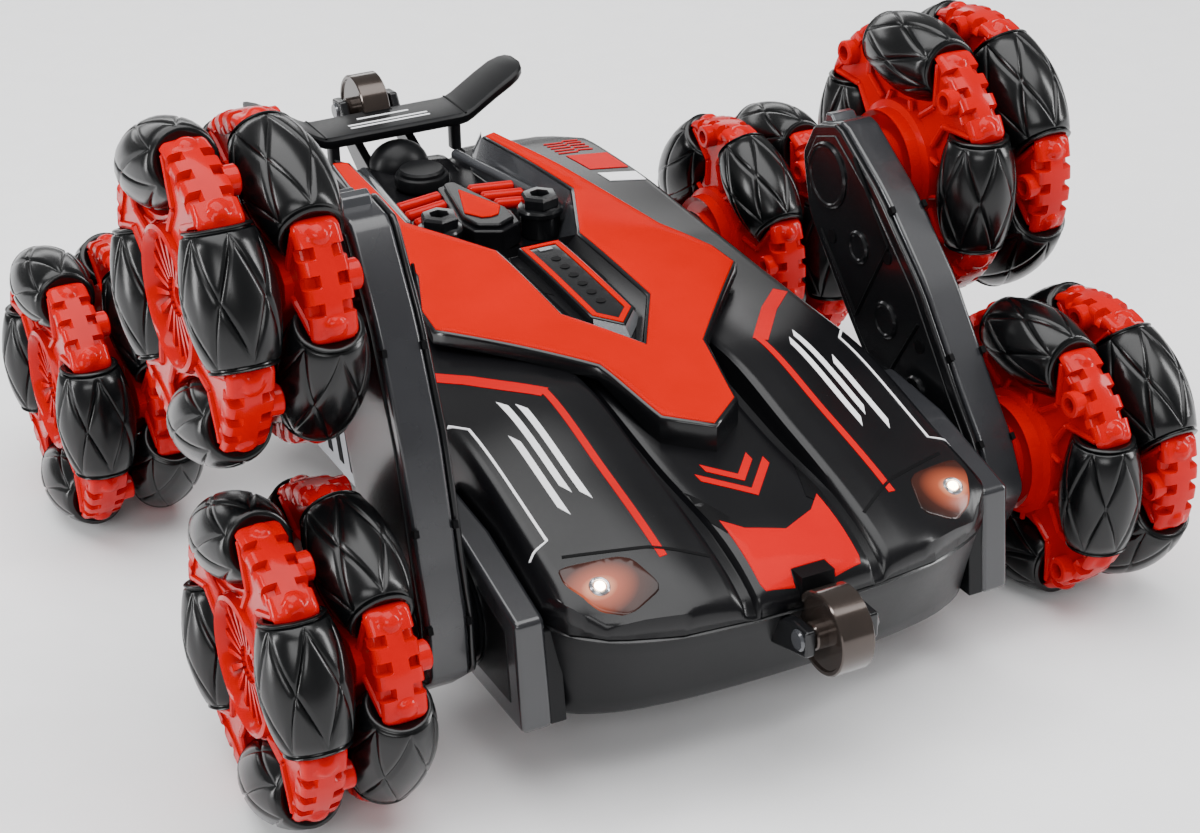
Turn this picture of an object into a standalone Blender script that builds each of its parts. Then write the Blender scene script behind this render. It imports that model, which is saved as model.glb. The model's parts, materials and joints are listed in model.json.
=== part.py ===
"""A radio-controlled stunt car: six double-row omni wheels, two of them on swinging arms.

The nose points towards -Y, and the wheels stand on z = 0. Sizes below are in millimetres, and
add_mesh turns them into metres. An angle in the Y-Z plane runs from +Y up towards +Z.
"""

import math

import bmesh
import bpy
from mathutils import Matrix, Vector, geometry

MM = 0.001
GAP = 0.3
ROUND_SIDES = 16

# Wheels
WHEEL_RADIUS = 40.0
WHEEL_X = 107.8
ROW_OFFSET = 9.7
FRONT_AXLE_Y = -80.0
WHEELBASE = 159.3
REAR_AXLE_Y = FRONT_AXLE_Y + WHEELBASE
ROLLERS_PER_ROW = 4

# Barrel rollers: their bulge follows the wheel's own circle
ROLLER_RADIUS = 10.7
ROLLER_HALF_LENGTH = 15.5
ROLLER_SIDES = 8
PITCH_RADIUS = WHEEL_RADIUS - ROLLER_RADIUS
BARREL_STATIONS = (-ROLLER_HALF_LENGTH, -10.5, -4.0, 4.0, 10.5, ROLLER_HALF_LENGTH)
TRUNNION_RADIUS = 1.5
TRUNNION_LENGTH = 2.2

# Hub
BRACKET_RADIUS = 38.0
BRACKET_HALF_WIDTH = 5.6
BRACKET_ROOT_DEPTH = 1.5
BRACKET_ROOT_HALF = 4.4
BRACKET_FACE_START = 3.2
BRACKET_ARC_SHARES = (1.0, 0.36)
SOCKET_RADIUS = 2.0
SOCKET_DEPTH = 2.8
CORE_RADIUS = 17.3
CORE_HALF_WIDTH = 16.2
RECESS_RADII = (13.6, 12.2)
RECESS_DEPTH = 3.0
DRUM_RADIUS = 15.5
DRUM_LENGTH = 5.0
AXLE_RADIUS = 3.1
AXLE_BORE_RADIUS = 3.35
AXLE_REACH = 6.6
AXLE_END_X = WHEEL_X - CORE_HALF_WIDTH - DRUM_LENGTH - AXLE_REACH
# Links that hold the rollers of a climbing wheel together across its two rows
LINK_HALF = 1.0
LINK_INSET = 2.2
LINK_ANGLES = (22.5, 67.5)

# Swing arms: an outer tray and an inner cover
ARM_LENGTH = 86.0
ARM_INNER_X = 71.0
ARM_SPLIT_X = 75.0
ARM_OUTER_X = 83.0
ARM_WALL = 2.4
ARM_BOSS_RADIUS = 11.0
JOURNAL_RADIUS = 8.0
JOURNAL_BORE_RADIUS = 8.3
JOURNAL_END_X = 78.2
COLLAR_RADIUS = 12.0
LEFT_ARM_ANGLE = 71.4
RIGHT_ARM_ANGLE = 45.2
# (along the arm from the pivot, across it towards the front and up)
ARM_OUTLINE = (
    (-13.0, -12.5), (-18.0, 0.0), (-13.0, 12.5), (1.7, 16.8), (14.9, 17.5), (43.5, 20.4),
    (71.6, 18.6), (95.2, 13.2), (100.8, 1.8), (97.6, -9.0), (82.9, -17.7), (48.4, -18.7),
    (14.0, -17.5),
)

# Angle of the first outer-row bracket of each wheel
BRACKET_PHASE = {
    "front_left": 25.0,
    "front_right": -1.0,
    "rear_left": 39.0,
    "rear_right": 38.0,
    "climbing_left": 25.0,
    "climbing_right": -1.0,
}

# Chassis
FLOOR_Z = 22.0
SPLIT_Z = 48.0
TUB_WALL = 2.6
SIDE_PLATE_INNER_X = 60.4
SIDE_PLATE_FOOT_X = 56.0
SIDE_PLATE_OUTER_X = 68.0
AXLE_Z = WHEEL_RADIUS
REAR_BOSS_RADIUS = 13.0
REAR_ROOT_RADIUS = 7.5
REAR_BOSS_END_X = 86.0
# Half outlines in plan, nose to tail, at the split and at the floor
RIM_OUTLINE = (
    (0.0, -130.7), (16.0, -130.3), (35.0, -128.3), (49.0, -122.8), (57.0, -115.5),
    (60.0, -107.0), (60.0, -20.0), (60.0, 60.0), (58.0, 104.0), (48.0, 119.0), (0.0, 124.0),
)
FLOOR_OUTLINE = (
    (0.0, -119.0), (14.0, -118.8), (28.0, -118.0), (44.0, -115.5), (54.0, -110.5),
    (57.0, -103.0), (57.0, -20.0), (57.0, 58.0), (54.0, 96.0), (44.0, 107.0), (0.0, 110.0),
)
# Corner plate that carries the arm's pivot, seen from the side as (y, z)
SIDE_PLATE_OUTLINE = (
    (-113.0, 22.5), (-109.5, 50.7), (-81.0, 59.0), (-58.0, 61.0), (-48.0, 48.0), (-52.0, 22.5),
)
SIDE_FOOT_OUTLINE = ((-113.0, 22.5), (-109.9, 47.4), (-48.4, 47.4), (-52.0, 22.5))

# Body shell: heights of the surface along the car, at several distances from the centre line
SHELL_WALL = 2.0
SHELL_INNER_SCALE = (0.962, 0.978)
SHELL_LEAST_RISE = 0.4
SIDE_X = 60.0
SHELL_COLUMNS = (0.0, 14.0, 17.5, 21.0, 28.0, 34.0, 53.0, 58.0)
CENTRE_HEIGHTS = (
    (-130.7, 48.0), (-128.5, 53.7), (-108.0, 62.0), (-83.0, 65.0), (-47.0, 71.5), (-20.0, 74.0),
    (12.0, 75.0), (17.0, 71.0), (104.0, 71.0), (108.0, 73.0), (118.0, 71.0), (124.0, 48.0),
)
PONTOON_HEIGHTS = (
    (-130.7, 48.0), (-127.0, 54.0), (-113.0, 60.4), (-83.0, 68.2), (-50.0, 75.0), (-20.0, 75.2),
    (20.0, 76.5), (60.0, 77.0), (100.0, 75.0), (112.0, 73.0), (119.0, 72.4), (124.0, 48.0),
)
WING_HEIGHTS = (
    (-121.0, 48.0), (-114.0, 56.0), (-96.0, 61.3), (-54.5, 70.9), (-20.0, 72.5), (30.0, 74.5),
    (65.0, 74.5), (90.0, 71.0), (108.0, 67.0), (120.0, 48.0),
)
SHELL_ROWS = (
    0.0, 0.012, 0.045, 0.09, 0.14, 0.19, 0.25, 0.335, 0.44, 0.57, 0.592, 0.75, 0.88, 0.92, 0.94,
    0.955, 0.985, 1.0,
)
EDGE_DROP = 7.0
GROOVE_DEPTH = 1.5
BAY_Y = (15.0, 106.0)

# Hood plate: outline of its right half, (x, y), from the tip round the outside and back
PLATE_OUTLINE = (
    (0.0, -83.0), (11.0, -74.4), (15.6, -50.4), (44.9, -15.5), (44.0, -4.5), (37.3, 13.0),
    (31.8, 65.0), (27.0, 101.0), (21.5, 98.0), (25.2, 45.4), (11.8, 15.1), (12.1, -24.9),
    (0.0, -45.2),
)
PLATE_CREST = (
    (-83.0, 72.5), (-74.0, 73.8), (-50.0, 78.6), (-25.0, 81.6), (15.0, 84.0), (60.0, 84.3),
    (101.0, 83.0),
)
PLATE_CROWN = 0.0012
PLATE_THICKNESSES = ((-74.0, 7.0), (-50.0, 3.2), (101.0, 3.2))

# Vent insert in the plate's front slot
VENT_OUTLINE = ((0.0, -43.6), (11.2, -23.9), (11.2, 13.0), (9.0, 14.6))
VENT_DROP = 1.2
VENT_THICKNESS = 2.6

# Engine bay
BAY_FLOOR_Z = 71.0
ENGINE_OUTLINE = ((0.0, 37.5), (7.4, 41.5), (8.6, 50.0), (3.2, 76.0), (0.0, 77.0))
ENGINE_TOP_Z = 79.5
ENGINE_FOOT_Z = BAY_FLOOR_Z + 0.4
NOZZLE_X = 15.6
NOZZLE_Y = 46.0
NOZZLE_SIDES = 12
NOZZLE_PROFILE = (
    (0.0, 0.4), (5.6, 0.4), (5.6, 7.0), (6.6, 7.6), (6.6, 9.0), (5.4, 9.6), (5.4, 12.6),
    (3.0, 12.6), (3.0, 10.0), (0.0, 10.0),
)
CAP_Y = 95.0
CAP_PROFILE = ((0.0, 0.4), (7.4, 0.4), (8.2, 1.4), (8.2, 4.4), (7.2, 6.0), (0.0, 6.4))

# Spoiler
WING_FRONT_Y = 112.0
WING_REAR_Y = 130.0
WING_TOP_Z = 84.6
WING_THICKNESS = 3.4
WING_FLAT_HALF = 23.5
WING_TIP_X = 44.0
WING_TIP_RISE = 11.5
POST_X = 20.0
POST_HALF_WIDTH = 1.6
POST_Y = (112.8, 117.6)
POST_FOOT_Z = 73.4

# Free rollers at nose and tail, and the slots that clear them
ROLLER_SLOT_HALF = 4.4
NOSE_SLOT = ((-140.0, -127.2), (33.0, 60.0))
WING_SLOT = ((127.0, 140.0), (76.0, 90.0))
END_ROLLER_RADIUS = 10.3
END_ROLLER_HALF_WIDTH = 3.4
END_ROLLER_HUB_RADIUS = 3.4
END_ROLLER_HUB_HALF = 6.6
END_PIN_RADIUS = 1.7
END_PIN_HALF = 9.4
EAR_BORE_RADIUS = 1.95
EAR_INNER_X = 7.0
EAR_OUTER_X = 9.8
EAR_BORE_SPAN = (-12.0, 12.0)
EAR_BORE_SIDES = 8
NOSE_ROLLER_YZ = (-138.0, 45.0)
TAIL_ROLLER_YZ = (138.0, 83.0)
# Ears seen from the side, (y, z)
NOSE_EAR = (
    (-141.2, 41.6), (-141.2, 48.4), (-135.0, 48.4), (-131.4, 47.4), (-126.5, 44.0),
    (-121.0, 36.0),
)
TAIL_EAR = (
    (141.2, 79.8), (141.2, 86.2), (135.0, 86.8), (131.0, 80.4), (106.0, 72.0), (106.0, 65.0),
    (120.0, 66.0),
)

# Headlights
LAMP_X = 46.0
LAMP_Y = -113.5
LAMP_OUTLINE = ((-9.0, -3.5), (-5.0, 5.0), (8.5, 7.0), (8.0, 0.0), (4.0, -6.5), (-5.0, -8.0))
LAMP_LIFT = 0.4
LAMP_DEPTH = 3.0
LAMP_LOWEST_Z = SPLIT_Z + 0.6
LAMP_OPENING_SCALE = 1.08
LAMP_OPENING_Z = (44.0, 80.0)

# Underside
HATCH_HALF_X = 24.0
HATCH_Y = (-20.0, 50.0)
HATCH_THICKNESS = 1.8
BATTERY_HALF_X = 18.0
BATTERY_Y = (-14.0, 44.0)
BATTERY_Z = (26.0, 45.0)
SWITCH_Y = 70.0
SWITCH_TRAVEL = 4.0
SWITCH_HALF = (2.0, 2.2)
SWITCH_NUB = 1.4
SWITCH_FLANGE_MARGIN = (2.0, 5.0)
SWITCH_FLANGE_THICKNESS = 1.5
MERGE = 0.05
SWITCH_SLOT_HALF = (2.6, 2.5 + SWITCH_TRAVEL / 2.0)


def clear_scene():
    for obj in list(bpy.data.objects):
        bpy.data.objects.remove(obj, do_unlink=True)


# ---------------------------------------------------------------- materials


def make_material(name, colour, roughness, metallic=0.0):
    material = bpy.data.materials.new(name)
    material.use_nodes = True
    shader = material.node_tree.nodes["Principled BSDF"]
    shader.inputs["Base Color"].default_value = (*colour, 1.0)
    shader.inputs["Roughness"].default_value = roughness
    shader.inputs["Metallic"].default_value = metallic
    material.diffuse_color = (*colour, 1.0)
    return material


FINISHES = {
    "black_gloss": ((0.016, 0.017, 0.018), 0.25),
    "black_satin": ((0.022, 0.023, 0.025), 0.45),
    "grey_satin": ((0.10, 0.105, 0.115), 0.38),
    "orange_red": ((0.80, 0.045, 0.018), 0.28),
    "wheel_red": ((0.70, 0.012, 0.015), 0.25),
    "gunmetal": ((0.10, 0.085, 0.075), 0.30, 0.9),
    "lens": ((1.0, 0.62, 0.40), 0.10),
    "battery_blue": ((0.03, 0.10, 0.35), 0.40),
}


# ---------------------------------------------------------------- shape helpers


def add_mesh(name, bm, finish=None, weld=1e-4):
    """Closes a bmesh in millimetres into a named object in metres."""
    bmesh.ops.remove_doubles(bm, verts=bm.verts, dist=weld)
    bmesh.ops.recalc_face_normals(bm, faces=bm.faces)
    if bm.calc_volume(signed=True) < 0.0:
        bmesh.ops.reverse_faces(bm, faces=bm.faces)
    mesh = bpy.data.meshes.new(name)
    bm.to_mesh(mesh)
    bm.free()
    mesh.transform(Matrix.Scale(MM, 4))
    obj = bpy.data.objects.new(name, mesh)
    bpy.context.collection.objects.link(obj)
    if finish:
        obj.data.materials.append(make_material(name, *FINISHES[finish]))
    return obj


def add_loops(bm, loops):
    """Skins a stack of equal loops of points, and caps both ends."""
    rings = [[bm.verts.new(point) for point in loop] for loop in loops]
    for lower, upper in zip(rings, rings[1:]):
        count = len(lower)
        for i in range(count):
            j = (i + 1) % count
            bm.faces.new((lower[i], lower[j], upper[j], upper[i]))
    bm.faces.new(rings[0][::-1])
    bm.faces.new(rings[-1])


def add_prism(bm, outline, low, high, axis):
    """Extrudes an outline along X (outline in Y, Z) or along Z (outline in X, Y)."""
    if axis == "X":
        loops = [[(level, a, b) for a, b in outline] for level in (low, high)]
    else:
        loops = [[(a, b, level) for a, b in outline] for level in (low, high)]
    add_loops(bm, loops)


def add_lathe(bm, profile, sides, frame, turn=0.0):
    """Turns (radius, height) points about frame's local Z. A point at radius 0 closes an end."""
    rings = []
    for radius, height in profile:
        if radius == 0.0:
            rings.append([bm.verts.new(frame @ Vector((0.0, 0.0, height)))])
            continue
        ring = []
        for i in range(sides):
            angle = 2.0 * math.pi * (i + turn) / sides
            point = Vector((radius * math.cos(angle), radius * math.sin(angle), height))
            ring.append(bm.verts.new(frame @ point))
        rings.append(ring)
    for lower, upper in zip(rings, rings[1:]):
        for i in range(sides):
            j = (i + 1) % sides
            if len(lower) == 1:
                bm.faces.new((lower[0], upper[j], upper[i]))
            elif len(upper) == 1:
                bm.faces.new((lower[i], lower[j], upper[0]))
            else:
                bm.faces.new((lower[i], lower[j], upper[j], upper[i]))


def mirrored(half):
    """A whole outline from its right half, which starts and ends on the centre line."""
    return list(half) + [(-x, y) for x, y in reversed(half) if x > 0.0]


def heights_at(table, where):
    """Reads a table of (position, height) pairs by straight lines."""
    if where <= table[0][0]:
        return table[0][1]
    for (a, low), (b, high) in zip(table, table[1:]):
        if where <= b:
            return low + (high - low) * (where - a) / (b - a)
    return table[-1][1]


def helper(bm, name):
    """A cutter or an added block, which is not a piece of the car itself."""
    obj = add_mesh(name, bm)
    obj.hide_render = True
    obj.display_type = "WIRE"
    return obj


def combine(obj, other, operation, solver="EXACT"):
    modifier = obj.modifiers.new(operation.lower() + "_" + other.name, "BOOLEAN")
    modifier.operation = operation
    modifier.solver = solver
    modifier.object = other


def baked_mesh(obj):
    """The object's mesh with its modifiers applied."""
    bpy.context.view_layer.update()
    graph = bpy.context.evaluated_depsgraph_get()
    return bpy.data.meshes.new_from_object(obj.evaluated_get(graph))


def sideways(x, y, z, side=1.0):
    """A frame whose local Z runs outboard along X."""
    columns = (Vector((0.0, 1.0, 0.0)), Vector((0.0, 0.0, 1.0)), Vector((1.0, 0.0, 0.0)))
    if side < 0.0:
        columns = (Vector((0.0, 0.0, 1.0)), Vector((0.0, 1.0, 0.0)), Vector((-1.0, 0.0, 0.0)))
    turned = Matrix(columns).transposed().to_4x4()
    return Matrix.Translation((x, y, z)) @ turned


def polar(radius, angle):
    return radius * math.cos(angle), radius * math.sin(angle)


# ---------------------------------------------------------------- wheels


def roller_profile():
    """Half circle arc of the wheel, with a trunnion at each end. Flats lie on the true radius."""
    grow = 1.0 / math.cos(math.pi / ROLLER_SIDES)
    end = ROLLER_HALF_LENGTH + TRUNNION_LENGTH
    profile = [(0.0, -end), (TRUNNION_RADIUS, -end), (TRUNNION_RADIUS, -ROLLER_HALF_LENGTH)]
    for along in BARREL_STATIONS:
        radius = math.sqrt(WHEEL_RADIUS**2 - along**2) - PITCH_RADIUS
        profile.append((radius * grow, along))
    profile += [(TRUNNION_RADIUS, ROLLER_HALF_LENGTH), (TRUNNION_RADIUS, end), (0.0, end)]
    return profile


def roller_frame(x, angle):
    """Local X points away from the wheel's axle and local Z along the roller's own pin."""
    out = Vector((0.0, math.cos(angle), math.sin(angle)))
    along = Vector((0.0, -math.sin(angle), math.cos(angle)))
    turned = Matrix((out, along.cross(out), along)).transposed().to_4x4()
    return Matrix.Translation(Vector((x, 0.0, 0.0)) + PITCH_RADIUS * out) @ turned


def add_roller(bm, x, angle):
    add_lathe(bm, roller_profile(), ROLLER_SIDES, roller_frame(x, angle), 0.5)


def bracket_outline(angle):
    """The block between two rollers of a row: a neck, two slanted faces and an arc."""
    face = (ROLLER_HALF_LENGTH + GAP) * math.sqrt(2.0)
    half = (-face + math.sqrt(2.0 * BRACKET_RADIUS**2 - face**2)) / 2.0
    corner = math.atan2(half, face + half)
    root = (CORE_RADIUS - BRACKET_ROOT_DEPTH, BRACKET_ROOT_HALF)
    right = [root, (face + BRACKET_FACE_START, BRACKET_FACE_START)]
    arc = [polar(BRACKET_RADIUS, corner * part) for part in BRACKET_ARC_SHARES]
    half_outline = right + arc
    outline = half_outline + [(along, -across) for along, across in reversed(half_outline)]
    turned = []
    for along, across in outline:
        y = along * math.cos(angle) - across * math.sin(angle)
        z = along * math.sin(angle) + across * math.cos(angle)
        turned.append((y, z))
    return turned


def row_angles(first_degrees):
    step = 360.0 / ROLLERS_PER_ROW
    return [math.radians(first_degrees + step * i) for i in range(ROLLERS_PER_ROW)]


def make_hub_mesh():
    """Hub with its axle, outboard along +X, with the outer row's first bracket at angle 0."""
    core = bmesh.new()
    inner_end = -CORE_HALF_WIDTH - DRUM_LENGTH
    profile = (
        (0.0, inner_end - AXLE_REACH), (AXLE_RADIUS, inner_end - AXLE_REACH),
        (AXLE_RADIUS, inner_end), (DRUM_RADIUS, inner_end), (DRUM_RADIUS, -CORE_HALF_WIDTH),
        (CORE_RADIUS, -CORE_HALF_WIDTH), (CORE_RADIUS, CORE_HALF_WIDTH),
        (RECESS_RADII[0], CORE_HALF_WIDTH), (RECESS_RADII[1], CORE_HALF_WIDTH - RECESS_DEPTH),
        (0.0, CORE_HALF_WIDTH - RECESS_DEPTH),
    )
    add_lathe(core, profile, ROUND_SIDES, sideways(0.0, 0.0, 0.0), 0.5)
    hub = helper(core, "hub_core")
    brackets = bmesh.new()
    sockets = bmesh.new()
    for row, first in ((1.0, 0.0), (-1.0, 45.0)):
        middle = row * ROW_OFFSET
        for angle in row_angles(first):
            low, high = middle - BRACKET_HALF_WIDTH, middle + BRACKET_HALF_WIDTH
            add_prism(brackets, bracket_outline(angle), low, high, "X")
            for side in (-1.0, 1.0):
                frame = roller_frame(middle, angle + side * math.pi / ROLLERS_PER_ROW)
                mouth = -side * (ROLLER_HALF_LENGTH - 1.0)
                bottom = -side * (ROLLER_HALF_LENGTH + SOCKET_DEPTH)
                ends = sorted((mouth, bottom))
                profile = [(0.0, ends[0]), (SOCKET_RADIUS, ends[0])]
                profile += [(SOCKET_RADIUS, ends[1]), (0.0, ends[1])]
                add_lathe(sockets, profile, 6, frame)
    combine(hub, helper(brackets, "hub_brackets"), "UNION")
    combine(hub, helper(sockets, "hub_sockets"), "DIFFERENCE")
    return baked_mesh(hub)


def wheel_places():
    """Name: (side, y, z). Side is -1 on the left and 1 on the right."""
    places = {}
    arms = (("left", -1.0, LEFT_ARM_ANGLE), ("right", 1.0, RIGHT_ARM_ANGLE))
    for word, side, arm_angle in arms:
        places["front_" + word] = (side, FRONT_AXLE_Y, AXLE_Z)
        places["rear_" + word] = (side, REAR_AXLE_Y, AXLE_Z)
        y, z = polar(ARM_LENGTH, math.radians(arm_angle))
        places["climbing_" + word] = (side, FRONT_AXLE_Y + y, AXLE_Z + z)
    return places


def make_wheel(name, place, hub_mesh, roller_mesh):
    side, y, z = place
    phase = BRACKET_PHASE[name]
    centre = Matrix.Translation(Vector((side * WHEEL_X, y, z)) * MM)
    hub = bpy.data.objects.new(name + "_hub", hub_mesh)
    bpy.context.collection.objects.link(hub)
    turn = Matrix.Rotation(math.radians(phase), 4, "X")
    if side < 0.0:
        turn = turn @ Matrix.Rotation(math.pi, 4, "Y")
    hub.matrix_world = centre @ turn
    rows = (("outer", side * ROW_OFFSET, phase + 45.0), ("inner", -side * ROW_OFFSET, phase))
    if name.startswith("climbing"):
        make_joined_rollers(name + "_rollers", centre, rows)
        return
    for row, x, first in rows:
        for i, angle in enumerate(row_angles(first)):
            roller = bpy.data.objects.new(f"{name}_{row}_roller_{i + 1}", roller_mesh)
            bpy.context.collection.objects.link(roller)
            frame = roller_frame(x, angle)
            frame.translation *= MM
            roller.matrix_world = centre @ frame


def make_joined_rollers(name, centre, rows):
    """The eight rollers of a climbing wheel, held together by short links across the rows."""
    rollers = bmesh.new()
    for _, x, first in rows:
        for angle in row_angles(first):
            add_roller(rollers, x, angle)
    obj = add_mesh(name, rollers, "black_gloss")
    links = bmesh.new()
    reach = math.hypot(PITCH_RADIUS, ROLLER_HALF_LENGTH - LINK_INSET)
    half = LINK_HALF
    for first in LINK_ANGLES:
        for angle in row_angles(rows[0][2] + first):
            y, z = polar(reach, angle)
            square = []
            for a, b in ((-half, -half), (half, -half), (half, half), (-half, half)):
                dy = a * math.cos(angle) - b * math.sin(angle)
                dz = a * math.sin(angle) + b * math.cos(angle)
                square.append((y + dy, z + dz))
            add_prism(links, square, -ROW_OFFSET, ROW_OFFSET, "X")
    linked = helper(links, name + "_links")
    combine(obj, linked, "UNION")
    obj.matrix_world = centre
    linked.matrix_world = centre


def make_wheels():
    hub_mesh = make_hub_mesh()
    hub_mesh.materials.append(make_material("hub", *FINISHES["wheel_red"]))
    one = bmesh.new()
    add_lathe(one, roller_profile(), ROLLER_SIDES, Matrix.Identity(4), 0.5)
    template = helper(one, "roller_template")
    template.data.materials.append(make_material("roller", *FINISHES["black_gloss"]))
    for name, place in wheel_places().items():
        make_wheel(name, place, hub_mesh, template.data)


# ---------------------------------------------------------------- swing arms


def arm_points(outline, angle):
    """Arm outline points turned to the arm's angle, as (y, z) about the front axle."""
    c, s = math.cos(angle), math.sin(angle)
    return [(u * c - v * s, u * s + v * c) for u, v in outline]


def scaled_outline(outline, inset):
    """The outline drawn in towards the arm's spine by about the inset."""
    drawn = []
    for u, v in outline:
        spine = min(max(u, 0.0), ARM_LENGTH)
        away = Vector((u - spine, v))
        away *= (away.length - inset) / away.length
        drawn.append((spine + away.x, away.y))
    return drawn


def arm_round(radius, low, high, along, angle):
    """A cutter or boss along X at a distance along the arm."""
    y, z = polar(along, angle)
    bm = bmesh.new()
    profile = ((0.0, low), (radius, low), (radius, high), (0.0, high))
    add_lathe(bm, profile, ROUND_SIDES, sideways(0.0, y, z), 0.5)
    return bm


def make_arm(word, side, degrees):
    angle = math.radians(degrees)
    pivot = Matrix.Translation(Vector((0.0, FRONT_AXLE_Y, AXLE_Z)) * MM)
    outline = arm_points(ARM_OUTLINE, angle)
    inner = arm_points(scaled_outline(ARM_OUTLINE, ARM_WALL), angle)

    def span(a, b):
        return tuple(sorted((side * a, side * b)))

    bm = bmesh.new()
    add_prism(bm, outline, *span(ARM_SPLIT_X, ARM_OUTER_X), "X")
    arm = add_mesh("swing_arm_" + word, bm, "black_gloss")
    hollow = bmesh.new()
    add_prism(hollow, inner, *span(ARM_SPLIT_X - 1.0, ARM_OUTER_X - ARM_WALL), "X")
    tools = [(helper(hollow, "arm_hollow_" + word), "DIFFERENCE")]
    for along, label in ((0.0, "pivot"), (ARM_LENGTH, "tip")):
        boss = arm_round(ARM_BOSS_RADIUS, *span(ARM_SPLIT_X, ARM_OUTER_X - 1.0), along, angle)
        tools.append((helper(boss, f"arm_boss_{label}_{word}"), "UNION"))
    reach = span(ARM_SPLIT_X - 1.0, JOURNAL_END_X + GAP)
    journal = arm_round(JOURNAL_BORE_RADIUS, *reach, 0.0, angle)
    tools.append((helper(journal, "arm_journal_" + word), "DIFFERENCE"))
    for along, label in ((0.0, "front"), (ARM_LENGTH, "climb")):
        bore = arm_round(AXLE_BORE_RADIUS, *span(AXLE_END_X - 0.5, ARM_OUTER_X + 1.0), along, angle)
        tools.append((helper(bore, f"arm_bore_{label}_{word}"), "DIFFERENCE"))
    for tool, operation in tools:
        combine(arm, tool, operation)
        tool.matrix_world = pivot
    arm.matrix_world = pivot

    lid = bmesh.new()
    add_prism(lid, outline, *span(ARM_INNER_X, ARM_SPLIT_X - GAP), "X")
    cover = add_mesh("arm_cover_" + word, lid, "black_satin")
    hole = arm_round(JOURNAL_BORE_RADIUS, *span(ARM_INNER_X - 1.0, ARM_SPLIT_X + 1.0), 0.0, angle)
    cutter = helper(hole, "arm_cover_hole_" + word)
    combine(cover, cutter, "DIFFERENCE")
    cutter.matrix_world = pivot
    cover.matrix_world = pivot


# ---------------------------------------------------------------- chassis


def inset_plan(half, inset):
    """A half outline in plan drawn in by the inset, with its ends kept on the centre line."""
    drawn = []
    for x, y in half:
        nearer_y = y + inset if y < 0.0 else y - inset
        drawn.append((max(x - inset, 0.0), nearer_y))
    return drawn


def plan_loop(half, z):
    return [(x, y, z) for x, y in mirrored(half)]


def side_round(bm_name, radius, low, high, y, z, side, sides=ROUND_SIDES):
    bm = bmesh.new()
    ends = sorted((side * low, side * high))
    profile = ((0.0, ends[0]), (radius, ends[0]), (radius, ends[1]), (0.0, ends[1]))
    add_lathe(bm, profile, sides, sideways(0.0, y, z), 0.5)
    return helper(bm, bm_name)


def make_end_ears(name, outline):
    bm = bmesh.new()
    for side in (-1.0, 1.0):
        ends = sorted((side * EAR_INNER_X, side * EAR_OUTER_X))
        add_prism(bm, outline, *ends, "X")
    return helper(bm, name)


def add_box(bm, half_x, y_span, z_span, x=0.0):
    outline = [(x - half_x, y_span[0]), (x + half_x, y_span[0])]
    outline += [(x + half_x, y_span[1]), (x - half_x, y_span[1])]
    add_prism(bm, outline, *z_span, "Z")


def make_nose_slot(name):
    bm = bmesh.new()
    add_box(bm, ROLLER_SLOT_HALF, *NOSE_SLOT)
    return helper(bm, name)


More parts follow.
